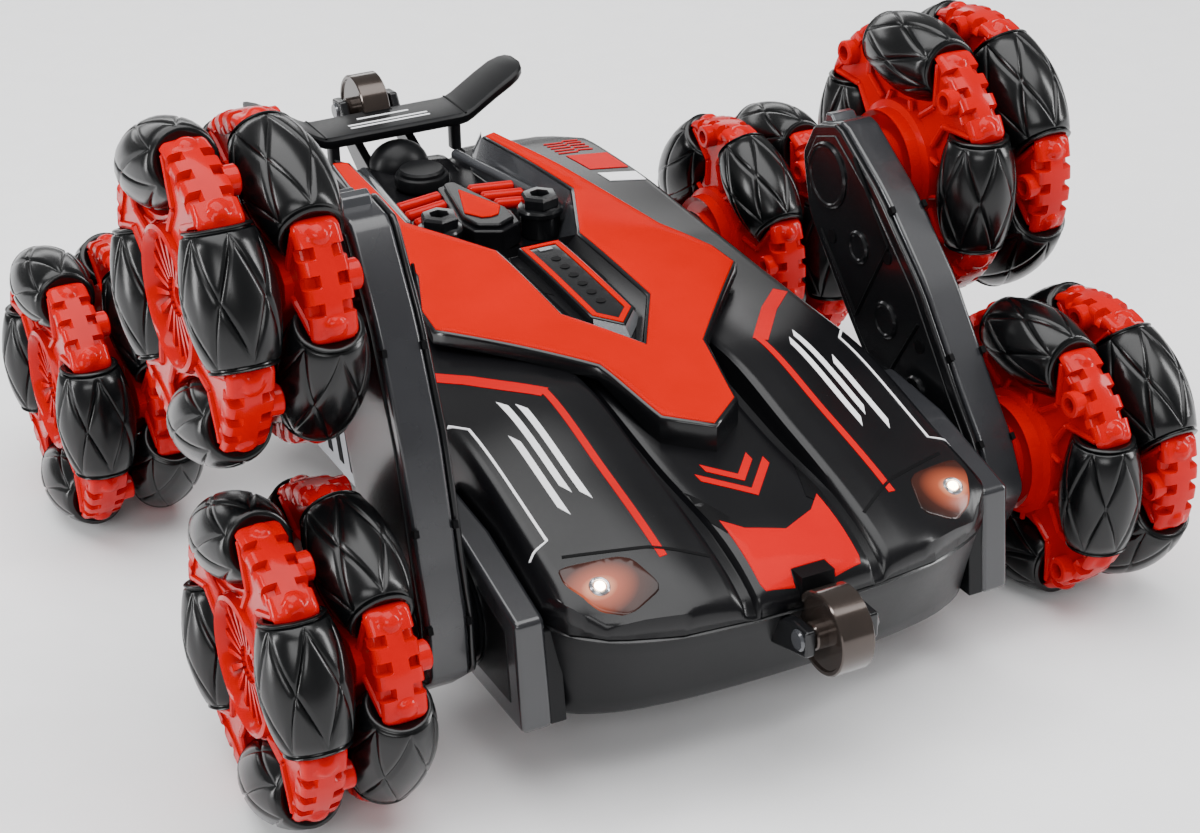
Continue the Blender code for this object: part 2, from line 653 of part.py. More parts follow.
def make_chassis():
    bm = bmesh.new()
    loops = (
        plan_loop(inset_plan(RIM_OUTLINE, TUB_WALL), SPLIT_Z),
        plan_loop(RIM_OUTLINE, SPLIT_Z),
        plan_loop(FLOOR_OUTLINE, FLOOR_Z),
    )
    inner_floor = plan_loop(inset_plan(FLOOR_OUTLINE, TUB_WALL), FLOOR_Z + TUB_WALL)
    add_loops(bm, (inner_floor, *loops))
    tub = add_mesh("chassis_tub", bm, "black_satin")

    for word, side in (("left", -1.0), ("right", 1.0)):
        plate = bmesh.new()
        ends = sorted((side * SIDE_PLATE_INNER_X, side * SIDE_PLATE_OUTER_X))
        add_prism(plate, SIDE_PLATE_OUTLINE, *ends, "X")
        combine(tub, helper(plate, "side_plate_" + word), "UNION", "MANIFOLD")
        foot = bmesh.new()
        ends = sorted((side * SIDE_PLATE_FOOT_X, side * (SIDE_PLATE_OUTER_X - 0.5)))
        add_prism(foot, SIDE_FOOT_OUTLINE, *ends, "X")
        combine(tub, helper(foot, "side_foot_" + word), "UNION", "MANIFOLD")
        foot_x = SIDE_PLATE_OUTER_X - 1.0
        rounds = (
            ("pivot_collar_", COLLAR_RADIUS, foot_x, ARM_INNER_X - GAP, FRONT_AXLE_Y),
            ("pivot_journal_", JOURNAL_RADIUS, foot_x, JOURNAL_END_X, FRONT_AXLE_Y),
            ("rear_root_", REAR_ROOT_RADIUS, SIDE_PLATE_FOOT_X, SIDE_X + 1.0, REAR_AXLE_Y),
            ("rear_boss_", REAR_BOSS_RADIUS, SIDE_X + 0.4, REAR_BOSS_END_X, REAR_AXLE_Y),
        )
        for label, radius, low, high, y in rounds:
            boss = side_round(label + word, radius, low, high, y, AXLE_Z, side)
            combine(tub, boss, "UNION", "MANIFOLD")
        ends = (AXLE_END_X - 0.5, REAR_BOSS_END_X + 1.0)
        bore = side_round("rear_bore_" + word, AXLE_BORE_RADIUS, *ends, REAR_AXLE_Y, AXLE_Z, side)
        combine(tub, bore, "DIFFERENCE", "MANIFOLD")

    combine(tub, make_end_ears("nose_ears", NOSE_EAR), "UNION", "MANIFOLD")
    where = (*EAR_BORE_SPAN, *NOSE_ROLLER_YZ)
    hole = side_round("nose_bore", EAR_BORE_RADIUS, *where, 1.0, EAR_BORE_SIDES)
    combine(tub, hole, "DIFFERENCE", "MANIFOLD")
    combine(tub, make_nose_slot("tub_nose_slot"), "DIFFERENCE", "MANIFOLD")

    openings = bmesh.new()
    through = (FLOOR_Z - 1.0, FLOOR_Z + TUB_WALL + 1.0)
    add_box(openings, HATCH_HALF_X, HATCH_Y, through)
    half_x, half_y = SWITCH_SLOT_HALF
    add_box(openings, half_x, (SWITCH_Y - half_y, SWITCH_Y + half_y), through)
    combine(tub, helper(openings, "floor_openings"), "DIFFERENCE", "MANIFOLD")


def make_underside():
    hatch = bmesh.new()
    span = (HATCH_Y[0] + GAP, HATCH_Y[1] - GAP)
    add_box(hatch, HATCH_HALF_X - GAP, span, (FLOOR_Z, FLOOR_Z + HATCH_THICKNESS))
    add_mesh("battery_hatch", hatch, "black_satin")
    battery = bmesh.new()
    add_box(battery, BATTERY_HALF_X, BATTERY_Y, BATTERY_Z)
    add_mesh("battery_pack", battery, "battery_blue")
    switch = bmesh.new()
    middle = SWITCH_Y - SWITCH_TRAVEL / 2.0
    half_x, half_y = SWITCH_HALF
    flange = FLOOR_Z + TUB_WALL + GAP
    add_box(switch, half_x, (middle - half_y, middle + half_y), (FLOOR_Z - SWITCH_NUB, flange))
    obj = add_mesh("power_switch", switch, "grey_satin")
    wider = bmesh.new()
    margin_x, margin_y = SWITCH_FLANGE_MARGIN
    flange_y = (middle - half_y - margin_y, middle + half_y + margin_y)
    flange_z = (flange - MERGE, flange + SWITCH_FLANGE_THICKNESS)
    add_box(wider, half_x + margin_x, flange_y, flange_z)
    combine(obj, helper(wider, "switch_flange"), "UNION")


# ---------------------------------------------------------------- body shell and trim


def shell_height(x, y):
    """Height of the body's outer surface, blended across the car between three side views."""
    centre = heights_at(CENTRE_HEIGHTS, y)
    pontoon = heights_at(PONTOON_HEIGHTS, y)
    wing = heights_at(WING_HEIGHTS, y)
    in_bay = BAY_Y[0] < y < BAY_Y[1]
    groove = centre if in_bay else min(centre, pontoon) - GROOVE_DEPTH
    shoulder = centre if in_bay else pontoon
    heights = (centre, centre, groove, shoulder, pontoon, pontoon, wing, wing - EDGE_DROP)
    return max(heights_at(tuple(zip(SHELL_COLUMNS, heights)), abs(x)), SPLIT_Z + GAP)


def edge_y(x, sign):
    """Where the rim's outline lies at this distance from the centre line, at nose or tail."""
    points = [(px, py) for px, py in RIM_OUTLINE if py * sign > 90.0]
    return heights_at(sorted(points), abs(x))


def make_shell():
    columns = [-x for x in reversed(SHELL_COLUMNS) if x > 0.0] + list(SHELL_COLUMNS)
    bm = bmesh.new()
    grid = []
    base = SPLIT_Z + GAP
    for t in SHELL_ROWS:
        row = []
        for x in columns:
            front, back = edge_y(x, -1.0), edge_y(x, 1.0)
            y = front + t * (back - front)
            on_rim = t in (SHELL_ROWS[0], SHELL_ROWS[-1])
            lowest = base + SHELL_LEAST_RISE
            row.append((x, y, base if on_rim else max(shell_height(x, y), lowest)))
        front, back = edge_y(SIDE_X, -1.0), edge_y(SIDE_X, 1.0)
        side_y = front + t * (back - front)
        row.insert(0, (-SIDE_X, side_y, base))
        row.append((SIDE_X, side_y, base))
        grid.append(row)
    shrink_x, shrink_y = SHELL_INNER_SCALE
    inner = []
    for row in grid:
        inner.append([(x * shrink_x, y * shrink_y, max(z - SHELL_WALL, base)) for x, y, z in row])
    for row, outer_row in zip(inner, grid):
        for i, (point, outer) in enumerate(zip(row, outer_row)):
            if outer[2] <= base + 0.001:
                row[i] = (point[0], point[1], base)
    surfaces = []
    for layer in (grid, inner):
        surfaces.append([[bm.verts.new(point) for point in row] for row in layer])
    for sheet, flip in zip(surfaces, (False, True)):
        for low, high in zip(sheet, sheet[1:]):
            for i in range(len(low) - 1):
                quad = (low[i], low[i + 1], high[i + 1], high[i])
                bm.faces.new(quad[::-1] if flip else quad)
    rims = []
    for sheet in surfaces:
        last = len(sheet[0]) - 1
        loop = list(sheet[0]) + [row[last] for row in sheet[1:]]
        loop += list(reversed(sheet[-1][:-1])) + [row[0] for row in reversed(sheet[1:-1])]
        rims.append(loop)
    count = len(rims[0])
    for i in range(count):
        j = (i + 1) % count
        bm.faces.new((rims[0][i], rims[1][i], rims[1][j], rims[0][j]))
    shell = add_mesh("body_shell", bm, "black_gloss")
    combine(shell, make_end_ears("tail_ears", TAIL_EAR), "UNION", "MANIFOLD")
    lamps = bmesh.new()
    for side in (-1.0, 1.0):
        add_prism(lamps, lamp_outline(side, LAMP_OPENING_SCALE), *LAMP_OPENING_Z, "Z")
    combine(shell, helper(lamps, "lamp_openings"), "DIFFERENCE", "MANIFOLD")
    combine(shell, make_nose_slot("shell_nose_slot"), "DIFFERENCE", "MANIFOLD")
    where = (*EAR_BORE_SPAN, *TAIL_ROLLER_YZ)
    hole = side_round("tail_bore", EAR_BORE_RADIUS, *where, 1.0, EAR_BORE_SIDES)
    combine(shell, hole, "DIFFERENCE", "MANIFOLD")


def plate_height(x, y):
    return heights_at(PLATE_CREST, y) - PLATE_CROWN * x * x


def plate_underside(x, y):
    return plate_height(x, y) - heights_at(PLATE_THICKNESSES, y)


def vent_top(x, y):
    return plate_height(x, y) - VENT_DROP


def vent_underside(x, y):
    return vent_top(x, y) - VENT_THICKNESS


def add_draped_plate(bm, outline, top, bottom):
    """A plate between two height functions, cut into the same triangles above and below."""
    low = [bm.verts.new((x, y, bottom(x, y))) for x, y in outline]
    high = [bm.verts.new((x, y, top(x, y))) for x, y in outline]
    count = len(outline)
    for i in range(count):
        j = (i + 1) % count
        bm.faces.new((low[i], low[j], high[j], high[i]))
    flat = [Vector((x, y, 0.0)) for x, y in outline]
    for a, b, c in geometry.tessellate_polygon([flat]):
        bm.faces.new((high[a], high[b], high[c]))
        bm.faces.new((low[c], low[b], low[a]))


def make_hood_plate():
    bm = bmesh.new()
    add_draped_plate(bm, mirrored(PLATE_OUTLINE), plate_height, plate_underside)
    add_mesh("hood_plate", bm, "orange_red")
    vent = bmesh.new()
    outline = VENT_OUTLINE + ((0.0, VENT_OUTLINE[-1][1]),)
    add_draped_plate(vent, mirrored(outline), vent_top, vent_underside)
    add_mesh("hood_vent", vent, "black_gloss")


def upright(x, y, z):
    return Matrix.Translation((x, y, z))


def make_engine_bay():
    bm = bmesh.new()
    add_prism(bm, mirrored(ENGINE_OUTLINE), ENGINE_FOOT_Z, ENGINE_TOP_Z, "Z")
    add_mesh("engine_cover", bm, "black_satin")
    for word, side in (("left", -1.0), ("right", 1.0)):
        nozzle = bmesh.new()
        frame = upright(side * NOZZLE_X, NOZZLE_Y, BAY_FLOOR_Z)
        add_lathe(nozzle, NOZZLE_PROFILE, NOZZLE_SIDES, frame)
        add_mesh("nozzle_" + word, nozzle, "black_gloss")
    cap = bmesh.new()
    add_lathe(cap, CAP_PROFILE, ROUND_SIDES, upright(0.0, CAP_Y, BAY_FLOOR_Z))
    add_mesh("tank_cap", cap, "black_gloss")


def make_spoiler():
    """A flat wing with turned-up ends, as one swept section, standing on two posts."""
    tip_z = WING_TOP_Z + WING_TIP_RISE
    top = [(-WING_TIP_X, tip_z), (-WING_FLAT_HALF, WING_TOP_Z), (WING_FLAT_HALF, WING_TOP_Z),
           (WING_TIP_X, tip_z)]
    low = [(x, z - WING_THICKNESS) for x, z in reversed(top)]
    section = top + low
    bm = bmesh.new()
    loops = [[(x, y, z) for x, z in section] for y in (WING_FRONT_Y, WING_REAR_Y)]
    add_loops(bm, loops)
    wing = add_mesh("spoiler", bm, "black_satin")
    posts = bmesh.new()
    for side in (-1.0, 1.0):
        span = (POST_FOOT_Z, WING_TOP_Z - 1.0)
        add_box(posts, POST_HALF_WIDTH, POST_Y, span, side * POST_X)
    combine(wing, helper(posts, "spoiler_posts"), "UNION")
    slot = bmesh.new()
    add_box(slot, ROLLER_SLOT_HALF, *WING_SLOT)
    combine(wing, helper(slot, "wing_slot"), "DIFFERENCE")


def lamp_outline(side, scale=1.0):
    return [(side * (LAMP_X + a * scale), LAMP_Y + b * scale) for a, b in LAMP_OUTLINE]


def lamp_top(x, y):
    return max(shell_height(x, y), LAMP_LOWEST_Z) + LAMP_LIFT


def lamp_underside(x, y):
    return max(lamp_top(x, y) - LAMP_DEPTH, LAMP_LOWEST_Z)


def make_headlights():
    for word, side in (("left", -1.0), ("right", 1.0)):
        bm = bmesh.new()
        add_draped_plate(bm, lamp_outline(side), lamp_top, lamp_underside)
        add_mesh("headlight_" + word, bm, "lens")


def make_end_rollers():
    half, hub, pin = END_ROLLER_HALF_WIDTH, END_ROLLER_HUB_HALF, END_PIN_HALF
    profile = (
        (0.0, -pin), (END_PIN_RADIUS, -pin), (END_PIN_RADIUS, -hub), (END_ROLLER_HUB_RADIUS, -hub),
        (END_ROLLER_HUB_RADIUS, -half), (END_ROLLER_RADIUS, -half), (END_ROLLER_RADIUS, half),
        (END_ROLLER_HUB_RADIUS, half), (END_ROLLER_HUB_RADIUS, hub), (END_PIN_RADIUS, hub),
        (END_PIN_RADIUS, pin), (0.0, pin),
    )
    for name, (y, z) in (("nose_roller", NOSE_ROLLER_YZ), ("tail_roller", TAIL_ROLLER_YZ)):
        bm = bmesh.new()
        add_lathe(bm, profile, ROUND_SIDES, sideways(0.0, 0.0, 0.0))
        obj = add_mesh(name, bm, "gunmetal")
        obj.location = Vector((0.0, y, z)) * MM


def main():
    clear_scene()
    make_chassis()
    make_underside()
    make_shell()
    make_hood_plate()
    make_engine_bay()
    make_spoiler()
    make_headlights()
    make_end_rollers()
    make_arm("left", -1.0, LEFT_ARM_ANGLE)
    make_arm("right", 1.0, RIGHT_ARM_ANGLE)
    make_wheels()


main()
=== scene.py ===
"""The looks of a radio-controlled stunt car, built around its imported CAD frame.

The nose points towards -Y and the wheels stand on z = 0. Lengths are in millimetres, and
plain_mesh() turns them into metres. Wheels, rollers and arms take their places from the joints.
"""

import json
import math

import bmesh
import bpy
from mathutils import Matrix, Vector, geometry


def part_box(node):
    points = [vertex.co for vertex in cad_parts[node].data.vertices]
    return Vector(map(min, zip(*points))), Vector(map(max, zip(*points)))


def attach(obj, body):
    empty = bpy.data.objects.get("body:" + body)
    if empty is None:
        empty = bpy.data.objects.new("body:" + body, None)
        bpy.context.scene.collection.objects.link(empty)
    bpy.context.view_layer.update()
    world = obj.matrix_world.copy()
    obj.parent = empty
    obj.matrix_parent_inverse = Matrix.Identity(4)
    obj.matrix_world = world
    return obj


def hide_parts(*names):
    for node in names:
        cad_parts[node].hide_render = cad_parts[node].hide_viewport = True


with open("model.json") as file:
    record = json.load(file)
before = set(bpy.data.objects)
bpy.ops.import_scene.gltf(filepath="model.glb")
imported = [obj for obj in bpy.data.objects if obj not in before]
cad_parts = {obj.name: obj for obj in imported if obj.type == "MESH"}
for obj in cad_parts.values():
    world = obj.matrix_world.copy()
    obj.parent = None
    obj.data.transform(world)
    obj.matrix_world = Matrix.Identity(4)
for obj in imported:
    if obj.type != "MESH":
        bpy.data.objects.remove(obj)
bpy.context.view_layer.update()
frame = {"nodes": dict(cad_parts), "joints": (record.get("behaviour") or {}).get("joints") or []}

MM = 0.001
JOINTS = {joint["name"]: joint for joint in frame["joints"]}
SIDES = (("left", -1.0), ("right", 1.0))

# Camera, in metres and degrees
CAMERA_PLACE = (-0.2579, -0.5285, 0.3444)
CAMERA_AZIMUTH = -26.92
CAMERA_ELEVATION = 27.64
CAMERA_ROLL = -0.9
CAMERA_LENS = 72.12


# -------- materials

COAT_ROUGHNESS = 0.08
PATCH_SCALE = 70.0
SKIN_SCALE = 900.0


def set_inputs(node, **values):
    """Sets a node's inputs. An underscore stands for a space in an input's name."""
    for label, value in values.items():
        node.inputs[label.replace("_", " ")].default_value = value
    return node


def finish(name, colour, roughness, metallic=0.0, coat=0.0, grain=0.05, patch=0.10, emission=0.0, shine=0.5):
    """Moulded or painted plastic: soft patches of tone, uneven gloss and a fine skin."""
    material = bpy.data.materials.new(name)
    material.use_nodes = True
    nodes, links = material.node_tree.nodes, material.node_tree.links
    shader = set_inputs(nodes["Principled BSDF"], Metallic=metallic, Specular_IOR_Level=shine)
    set_inputs(shader, Coat_Weight=coat, Coat_Roughness=COAT_ROUGHNESS)
    where = nodes.new("ShaderNodeTexCoord")
    patches = set_inputs(nodes.new("ShaderNodeTexNoise"), Scale=PATCH_SCALE, Detail=4.0)
    links.new(where.outputs["Object"], patches.inputs["Vector"])
    tones = nodes.new("ShaderNodeValToRGB")
    dark, light = tones.color_ramp.elements
    dark.position, light.position = 0.35, 0.65
    dark.color = (*[c * (1.0 - patch) for c in colour], 1.0)
    light.color = (*[min(c * (1.0 + patch), 1.0) for c in colour], 1.0)
    links.new(patches.outputs["Fac"], tones.inputs["Fac"])
    links.new(tones.outputs["Color"], shader.inputs["Base Color"])
    skin = set_inputs(nodes.new("ShaderNodeTexNoise"), Scale=SKIN_SCALE, Detail=3.0)
    links.new(where.outputs["Object"], skin.inputs["Vector"])
    gloss = nodes.new("ShaderNodeMapRange")
    set_inputs(gloss, To_Min=roughness * 0.9, To_Max=roughness * 1.1)
    links.new(skin.outputs["Fac"], gloss.inputs["Value"])
    links.new(gloss.outputs["Result"], shader.inputs["Roughness"])
    bump = set_inputs(nodes.new("ShaderNodeBump"), Strength=grain, Distance=0.0001)
    links.new(skin.outputs["Fac"], bump.inputs["Height"])
    links.new(bump.outputs["Normal"], shader.inputs["Normal"])
    if emission:
        links.new(tones.outputs["Color"], shader.inputs["Emission Color"])
        set_inputs(shader, Emission_Strength=emission)
    return material


def lens_finish(name, lamp):
    """Smoky plastic over a lamp, which warms it most where the lamp is nearest."""
    material = finish(name, (0.008, 0.005, 0.0045), 0.20, grain=0.01, shine=0.25)
    nodes, links = material.node_tree.nodes, material.node_tree.links
    shader = nodes["Principled BSDF"]
    where = nodes.new("ShaderNodeTexCoord")
    shift = nodes.new("ShaderNodeMapping")
    shift.vector_type = "TEXTURE"
    set_inputs(shift, Location=lamp, Scale=(0.015, 0.011, 0.011))
    links.new(where.outputs["Object"], shift.inputs["Vector"])
    ball = nodes.new("ShaderNodeTexGradient")
    ball.gradient_type = "SPHERICAL"
    links.new(shift.outputs["Vector"], ball.inputs["Vector"])
    glow = nodes.new("ShaderNodeValToRGB")
    glow.color_ramp.elements[0].color = (0.0, 0.0, 0.0, 1.0)
    glow.color_ramp.elements[1].color = (1.0, 0.45, 0.25, 1.0)
    for place, colour in ((0.35, (0.03, 0.006, 0.003, 1.0)), (0.7, (0.30, 0.06, 0.025, 1.0))):
        glow.color_ramp.elements.new(place).color = colour
    links.new(ball.outputs["Fac"], glow.inputs["Fac"])
    links.new(glow.outputs["Color"], shader.inputs["Emission Color"])
    set_inputs(shader, Emission_Strength=2.2)
    return material


BLACK = finish("black_gloss", (0.0045, 0.0047, 0.0054), 0.22, coat=0.12, grain=0.02, shine=0.35)
SHELL_BLACK = finish("shell_black", (0.0035, 0.0035, 0.0042), 0.26, grain=0.01, shine=0.26)
# Base colour raised above the other blacks: painted sheen for the lit edges of the arm trays and corner
# plates.
SHEEN_LIFTED_BLACK = finish("arm_black_painted_sheen", (0.017, 0.0175, 0.020), 0.26, coat=0.3, grain=0.005, shine=0.5)
SATIN = finish("satin_black", (0.0042, 0.0044, 0.005), 0.36, grain=0.02, shine=0.17)
# Darker and duller than the other blacks: painted shade inside holes, slots, notches and recesses, and the
# dark colour of seam lines.
SHADE_AND_SEAM_BLACK = finish("hole_shade_and_seam_black", (0.0012, 0.0012, 0.0016), 0.6, grain=0.05, shine=0.1)
ROLLER_BLACK = finish("roller_black", (0.0022, 0.0024, 0.0027), 0.24, grain=0.008, shine=0.34)
PLATE_RED = finish("plate_red", (0.47, 0.003, 0.0), 0.50, coat=0.04, grain=0.01, patch=0.03, shine=0.0)
NOSE_RED = finish("nose_red", (0.47, 0.002, 0.004), 0.40, coat=0.05, grain=0.01, patch=0.03, shine=0.02)
WHEEL_RED = finish("wheel_red", (0.44, 0.0, 0.001), 0.24, coat=0.22, grain=0.01, patch=0.06, shine=0.05)
RED_PRINT = finish("red_print", (0.48, 0.0, 0.002), 0.45, grain=0.01, patch=0.04, shine=0.06)
WHITE_PRINT = finish("white_print", (0.80, 0.80, 0.82), 0.40, grain=0.01, patch=0.03, shine=0.2)
SILVER = finish("silver_grey", (0.34, 0.35, 0.37), 0.24, metallic=0.8, grain=0.02)
STEEL = finish("dark_steel", (0.045, 0.047, 0.052), 0.22, metallic=0.3, coat=0.5, grain=0.02)
PALE_PANEL = finish("grey_panel", (0.26, 0.27, 0.29), 0.30, coat=0.3, grain=0.03)
GUNMETAL = finish("gunmetal", (0.055, 0.042, 0.036), 0.16, metallic=0.7, coat=0.3, grain=0.02)
BATTERY = finish("battery_blue", (0.03, 0.10, 0.35), 0.35, coat=0.3)
GLOW = finish("lamp_glow", (1.0, 0.72, 0.50), 0.30, emission=22.0)


# -------- mesh helpers


def plain_mesh(name, bm, material, sharp):
    """A smooth mesh in metres from a bmesh in millimetres, which is emptied for the next piece."""
    bmesh.ops.remove_doubles(bm, verts=bm.verts, dist=1e-4)
    bmesh.ops.recalc_face_normals(bm, faces=bm.faces)
    mesh = bpy.data.meshes.new(name)
    bm.to_mesh(mesh)
    bm.clear()
    mesh.transform(Matrix.Scale(MM, 4))
    mesh.materials.append(material)
    mesh.polygons.foreach_set("use_smooth", [True] * len(mesh.polygons))
    if sharp:
        mesh.set_sharp_from_angle(angle=math.radians(sharp))
    return mesh


def piece(name, bm, material, stands_for=(), bevel=0.0, sharp=32.0, body="chassis", place=None, slot=None):
    """Makes a piece from a bmesh and hangs it on a CAD body."""
    mesh = plain_mesh(name, bm, material, 0.0 if bevel else sharp)
    return place_mesh(name, mesh, body, stands_for, bevel, place)


def place_mesh(name, mesh, body, stands_for=(), bevel=0.0, place=None):
    """Puts a mesh in the scene, rounds its edges and tells the frame what it belongs to."""
    obj = bpy.data.objects.new(name, mesh)
    bpy.context.scene.collection.objects.link(obj)
    if place is not None:
        obj.matrix_world = place
    if bevel:
        modifier = obj.modifiers.new("edges", "BEVEL")
        modifier.width = bevel * MM
        modifier.segments = 3
        modifier.limit_method = "ANGLE"
        modifier.angle_limit = math.radians(28.0)
        modifier.harden_normals = True
    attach(obj, body)
    if stands_for:
        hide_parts(*stands_for)
    return obj


def skin(bm, loops, closed=True, caps=True):
    """Skins a stack of equal loops of points."""
    rings = [[bm.verts.new(point) for point in loop] for loop in loops]
    count = len(rings[0])
    for lower, upper in zip(rings, rings[1:]):
        for i in range(count if closed else count - 1):
            j = (i + 1) % count
            bm.faces.new((lower[i], lower[j], upper[j], upper[i]))
    if caps:
        bm.faces.new(rings[0][::-1])
        bm.faces.new(rings[-1])


def prism(bm, outline, low, high, axis="Z", matrix=None):
    """Extrudes an outline between two levels along X (outline in Y, Z) or Z (outline in X, Y)."""
    loops = []
    for level in sorted((low, high)):
        loop = [Vector((level, a, b) if axis == "X" else (a, b, level)) for a, b in outline]
        if matrix is not None:
            loop = [matrix @ point for point in loop]
        loops.append(loop)
    skin(bm, loops)


def box(bm, low, high):
    outline = [(low[0], low[1]), (high[0], low[1]), (high[0], high[1]), (low[0], high[1])]
    prism(bm, outline, low[2], high[2])


def lathe(bm, profile, sides, matrix, turn=0.0):
    """Turns (radius, height) points about the matrix's local Z."""
    rings = []
    for radius, height in profile:
        if radius == 0.0:
            rings.append([bm.verts.new(matrix @ Vector((0.0, 0.0, height)))])
            continue
        angles = [2.0 * math.pi * (i + turn) / sides for i in range(sides)]
        ring = [Vector((radius * math.cos(a), radius * math.sin(a), height)) for a in angles]
        rings.append([bm.verts.new(matrix @ point) for point in ring])
    for lower, upper in zip(rings, rings[1:]):
        for i in range(sides):
            j = (i + 1) % sides
            if len(lower) == 1 and len(upper) == 1:
                continue
            if len(lower) == 1:
                bm.faces.new((lower[0], upper[j], upper[i]))
            elif len(upper) == 1:
                bm.faces.new((lower[i], lower[j], upper[0]))
            else:
                bm.faces.new((lower[i], lower[j], upper[j], upper[i]))


def along_x(x, y, z, side=1.0):
    """A frame whose local Z runs outboard along X."""
    columns = ((0.0, 1.0, 0.0), (0.0, 0.0, 1.0), (1.0, 0.0, 0.0))
    if side < 0.0:
        columns = ((0.0, 0.0, 1.0), (0.0, 1.0, 0.0), (-1.0, 0.0, 0.0))
    turned = Matrix([Vector(c) for c in columns]).transposed().to_4x4()
    return upright(x, y, z) @ turned


def upright(x, y, z):
    return Matrix.Translation((x, y, z))


def about_x(degrees):
    return Matrix.Rotation(math.radians(degrees), 4, "X")


def rod(bm, start, end, radius, sides):
    """A round bar with softened ends between two points."""
    start, end = Vector(start), Vector(end)
    along = end - start
    turned = along.to_track_quat("Z", "Y").to_matrix().to_4x4()
    matrix = Matrix.Translation(start) @ turned
    length, soft = along.length, min(radius * 0.4, along.length * 0.2)
    profile = ((0.0, 0.0), (radius - soft, 0.0), (radius, soft), (radius, length - soft),
               (radius - soft, length), (0.0, length))
    lathe(bm, profile, sides, matrix)


def polar(radius, degrees):
    return radius * math.cos(math.radians(degrees)), radius * math.sin(math.radians(degrees))


def mirrored(half):
    """A whole outline from its right half, which starts and ends on the centre line."""
    return list(half) + [(-x, y) for x, y in reversed(half) if x > 0.0]


def flipped(outline):
    return [(-x, y) for x, y in reversed(outline)]


def straight(table, where):
    """Reads a table of (position, value) pairs by straight lines."""
    if where <= table[0][0]:
        return table[0][1]
    for (a, low), (b, high) in zip(table, table[1:]):
        if where <= b:
            return low + (high - low) * (where - a) / (b - a)
    return table[-1][1]


def eased(table, where):
    """Reads a table by a smooth curve that never overshoots its points."""
    if where <= table[0][0]:
        return table[0][1]
    if where >= table[-1][0]:
        return table[-1][1]
    i = max(k for k in range(len(table) - 1) if table[k][0] <= where)
    rates = [(q[1] - p[1]) / (q[0] - p[0]) for p, q in zip(table, table[1:])]

    def slope(k):
        if k == 0 or k == len(table) - 1:
            return rates[min(k, len(rates) - 1)]
        before, after = rates[k - 1], rates[k]
        return 0.0 if before * after <= 0.0 else 2.0 * before * after / (before + after)

    (a, low), (b, high) = table[i], table[i + 1]
    span = b - a
    t = (where - a) / span
    return (low * (1.0 + 2.0 * t) * (1.0 - t) ** 2 + slope(i) * span * t * (1.0 - t) ** 2
            + high * t * t * (3.0 - 2.0 * t) + slope(i + 1) * span * t * t * (t - 1.0))


def resampled(loop, spacing):
    """The same closed outline with extra points on its long edges."""
    points = []
    for (ax, ay), (bx, by) in zip(loop, loop[1:] + loop[:1]):
        steps = max(1, round(math.hypot(bx - ax, by - ay) / spacing))
        points += [(ax + (bx - ax) * k / steps, ay + (by - ay) * k / steps) for k in range(steps)]
    return points


def rounded(loop, cut=0.25, rounds=2):
    """Cuts an outline's corners off again and again."""
    for _ in range(rounds):
        drawn = []
        for (ax, ay), (bx, by) in zip(loop, loop[1:] + loop[:1]):
            drawn.append((ax + (bx - ax) * cut, ay + (by - ay) * cut))
            drawn.append((bx + (ax - bx) * cut, by + (ay - by) * cut))
        loop = drawn
    return loop


def area(loop):
    return sum(ax * by - bx * ay for (ax, ay), (bx, by) in zip(loop, loop[1:] + loop[:1])) / 2.0


def inset(loop, distance):
    """Moves an outline's edges inwards; a negative distance moves them outwards."""
    sign = 1.0 if area(loop) > 0.0 else -1.0
    drawn = []
    for i, point in enumerate(loop):
        here = Vector(point)
        before = (here - Vector(loop[i - 1])).normalized()
        after = (Vector(loop[(i + 1) % len(loop)]) - here).normalized()
        normals = [Vector((-d.y, d.x)) * sign for d in (before, after)]
        middle = normals[0] + normals[1]
        if middle.length < 1e-6:
            middle = normals[0]
        middle.normalize()
        reach = distance / max(middle.dot(normals[0]), 0.35)
        drawn.append(tuple(here + middle * reach))
    return drawn


def inside(loop, x, y):
    found = False
    for (ax, ay), (bx, by) in zip(loop, loop[1:] + loop[:1]):
        if (ay > y) != (by > y) and x < ax + (bx - ax) * (y - ay) / (by - ay):
            found = not found
    return found


def fill(bm, outer, holes, height, spacing):
    """Fills an outline with triangles that follow a height function."""
    points, edges = [], []
    for loop in (outer, *holes):
        base, count = len(points), len(loop)
        points += [Vector(p) for p in loop]
        edges += [(base + i, base + (i + 1) % count) for i in range(count)]
    xs, ys = [p[0] for p in outer], [p[1] for p in outer]
    keep_off = spacing * 0.45
    rows = int((max(ys) - min(ys)) / spacing)
    columns = int((max(xs) - min(xs)) / spacing)
    for row in range(1, rows + 1):
        for column in range(1, columns + 1):
            x = min(xs) + (column - 0.5 * (row % 2)) * spacing
            y = min(ys) + row * spacing
            if not inside(outer, x, y) or any(inside(hole, x, y) for hole in holes):
                continue
            if min((Vector((x, y)) - p).length for p in points[:len(edges)]) > keep_off:
                points.append(Vector((x, y)))
    flat = geometry.delaunay_2d_cdt(points, edges, [], 0, 1e-5)
    verts = [bm.verts.new((p.x, p.y, height(p.x, p.y))) for p in flat[0]]
    for face in flat[2]:
        x = sum(flat[0][i].x for i in face) / len(face)
        y = sum(flat[0][i].y for i in face) / len(face)
        if inside(outer, x, y) and not any(inside(hole, x, y) for hole in holes):
            bm.faces.new([verts[i] for i in face])


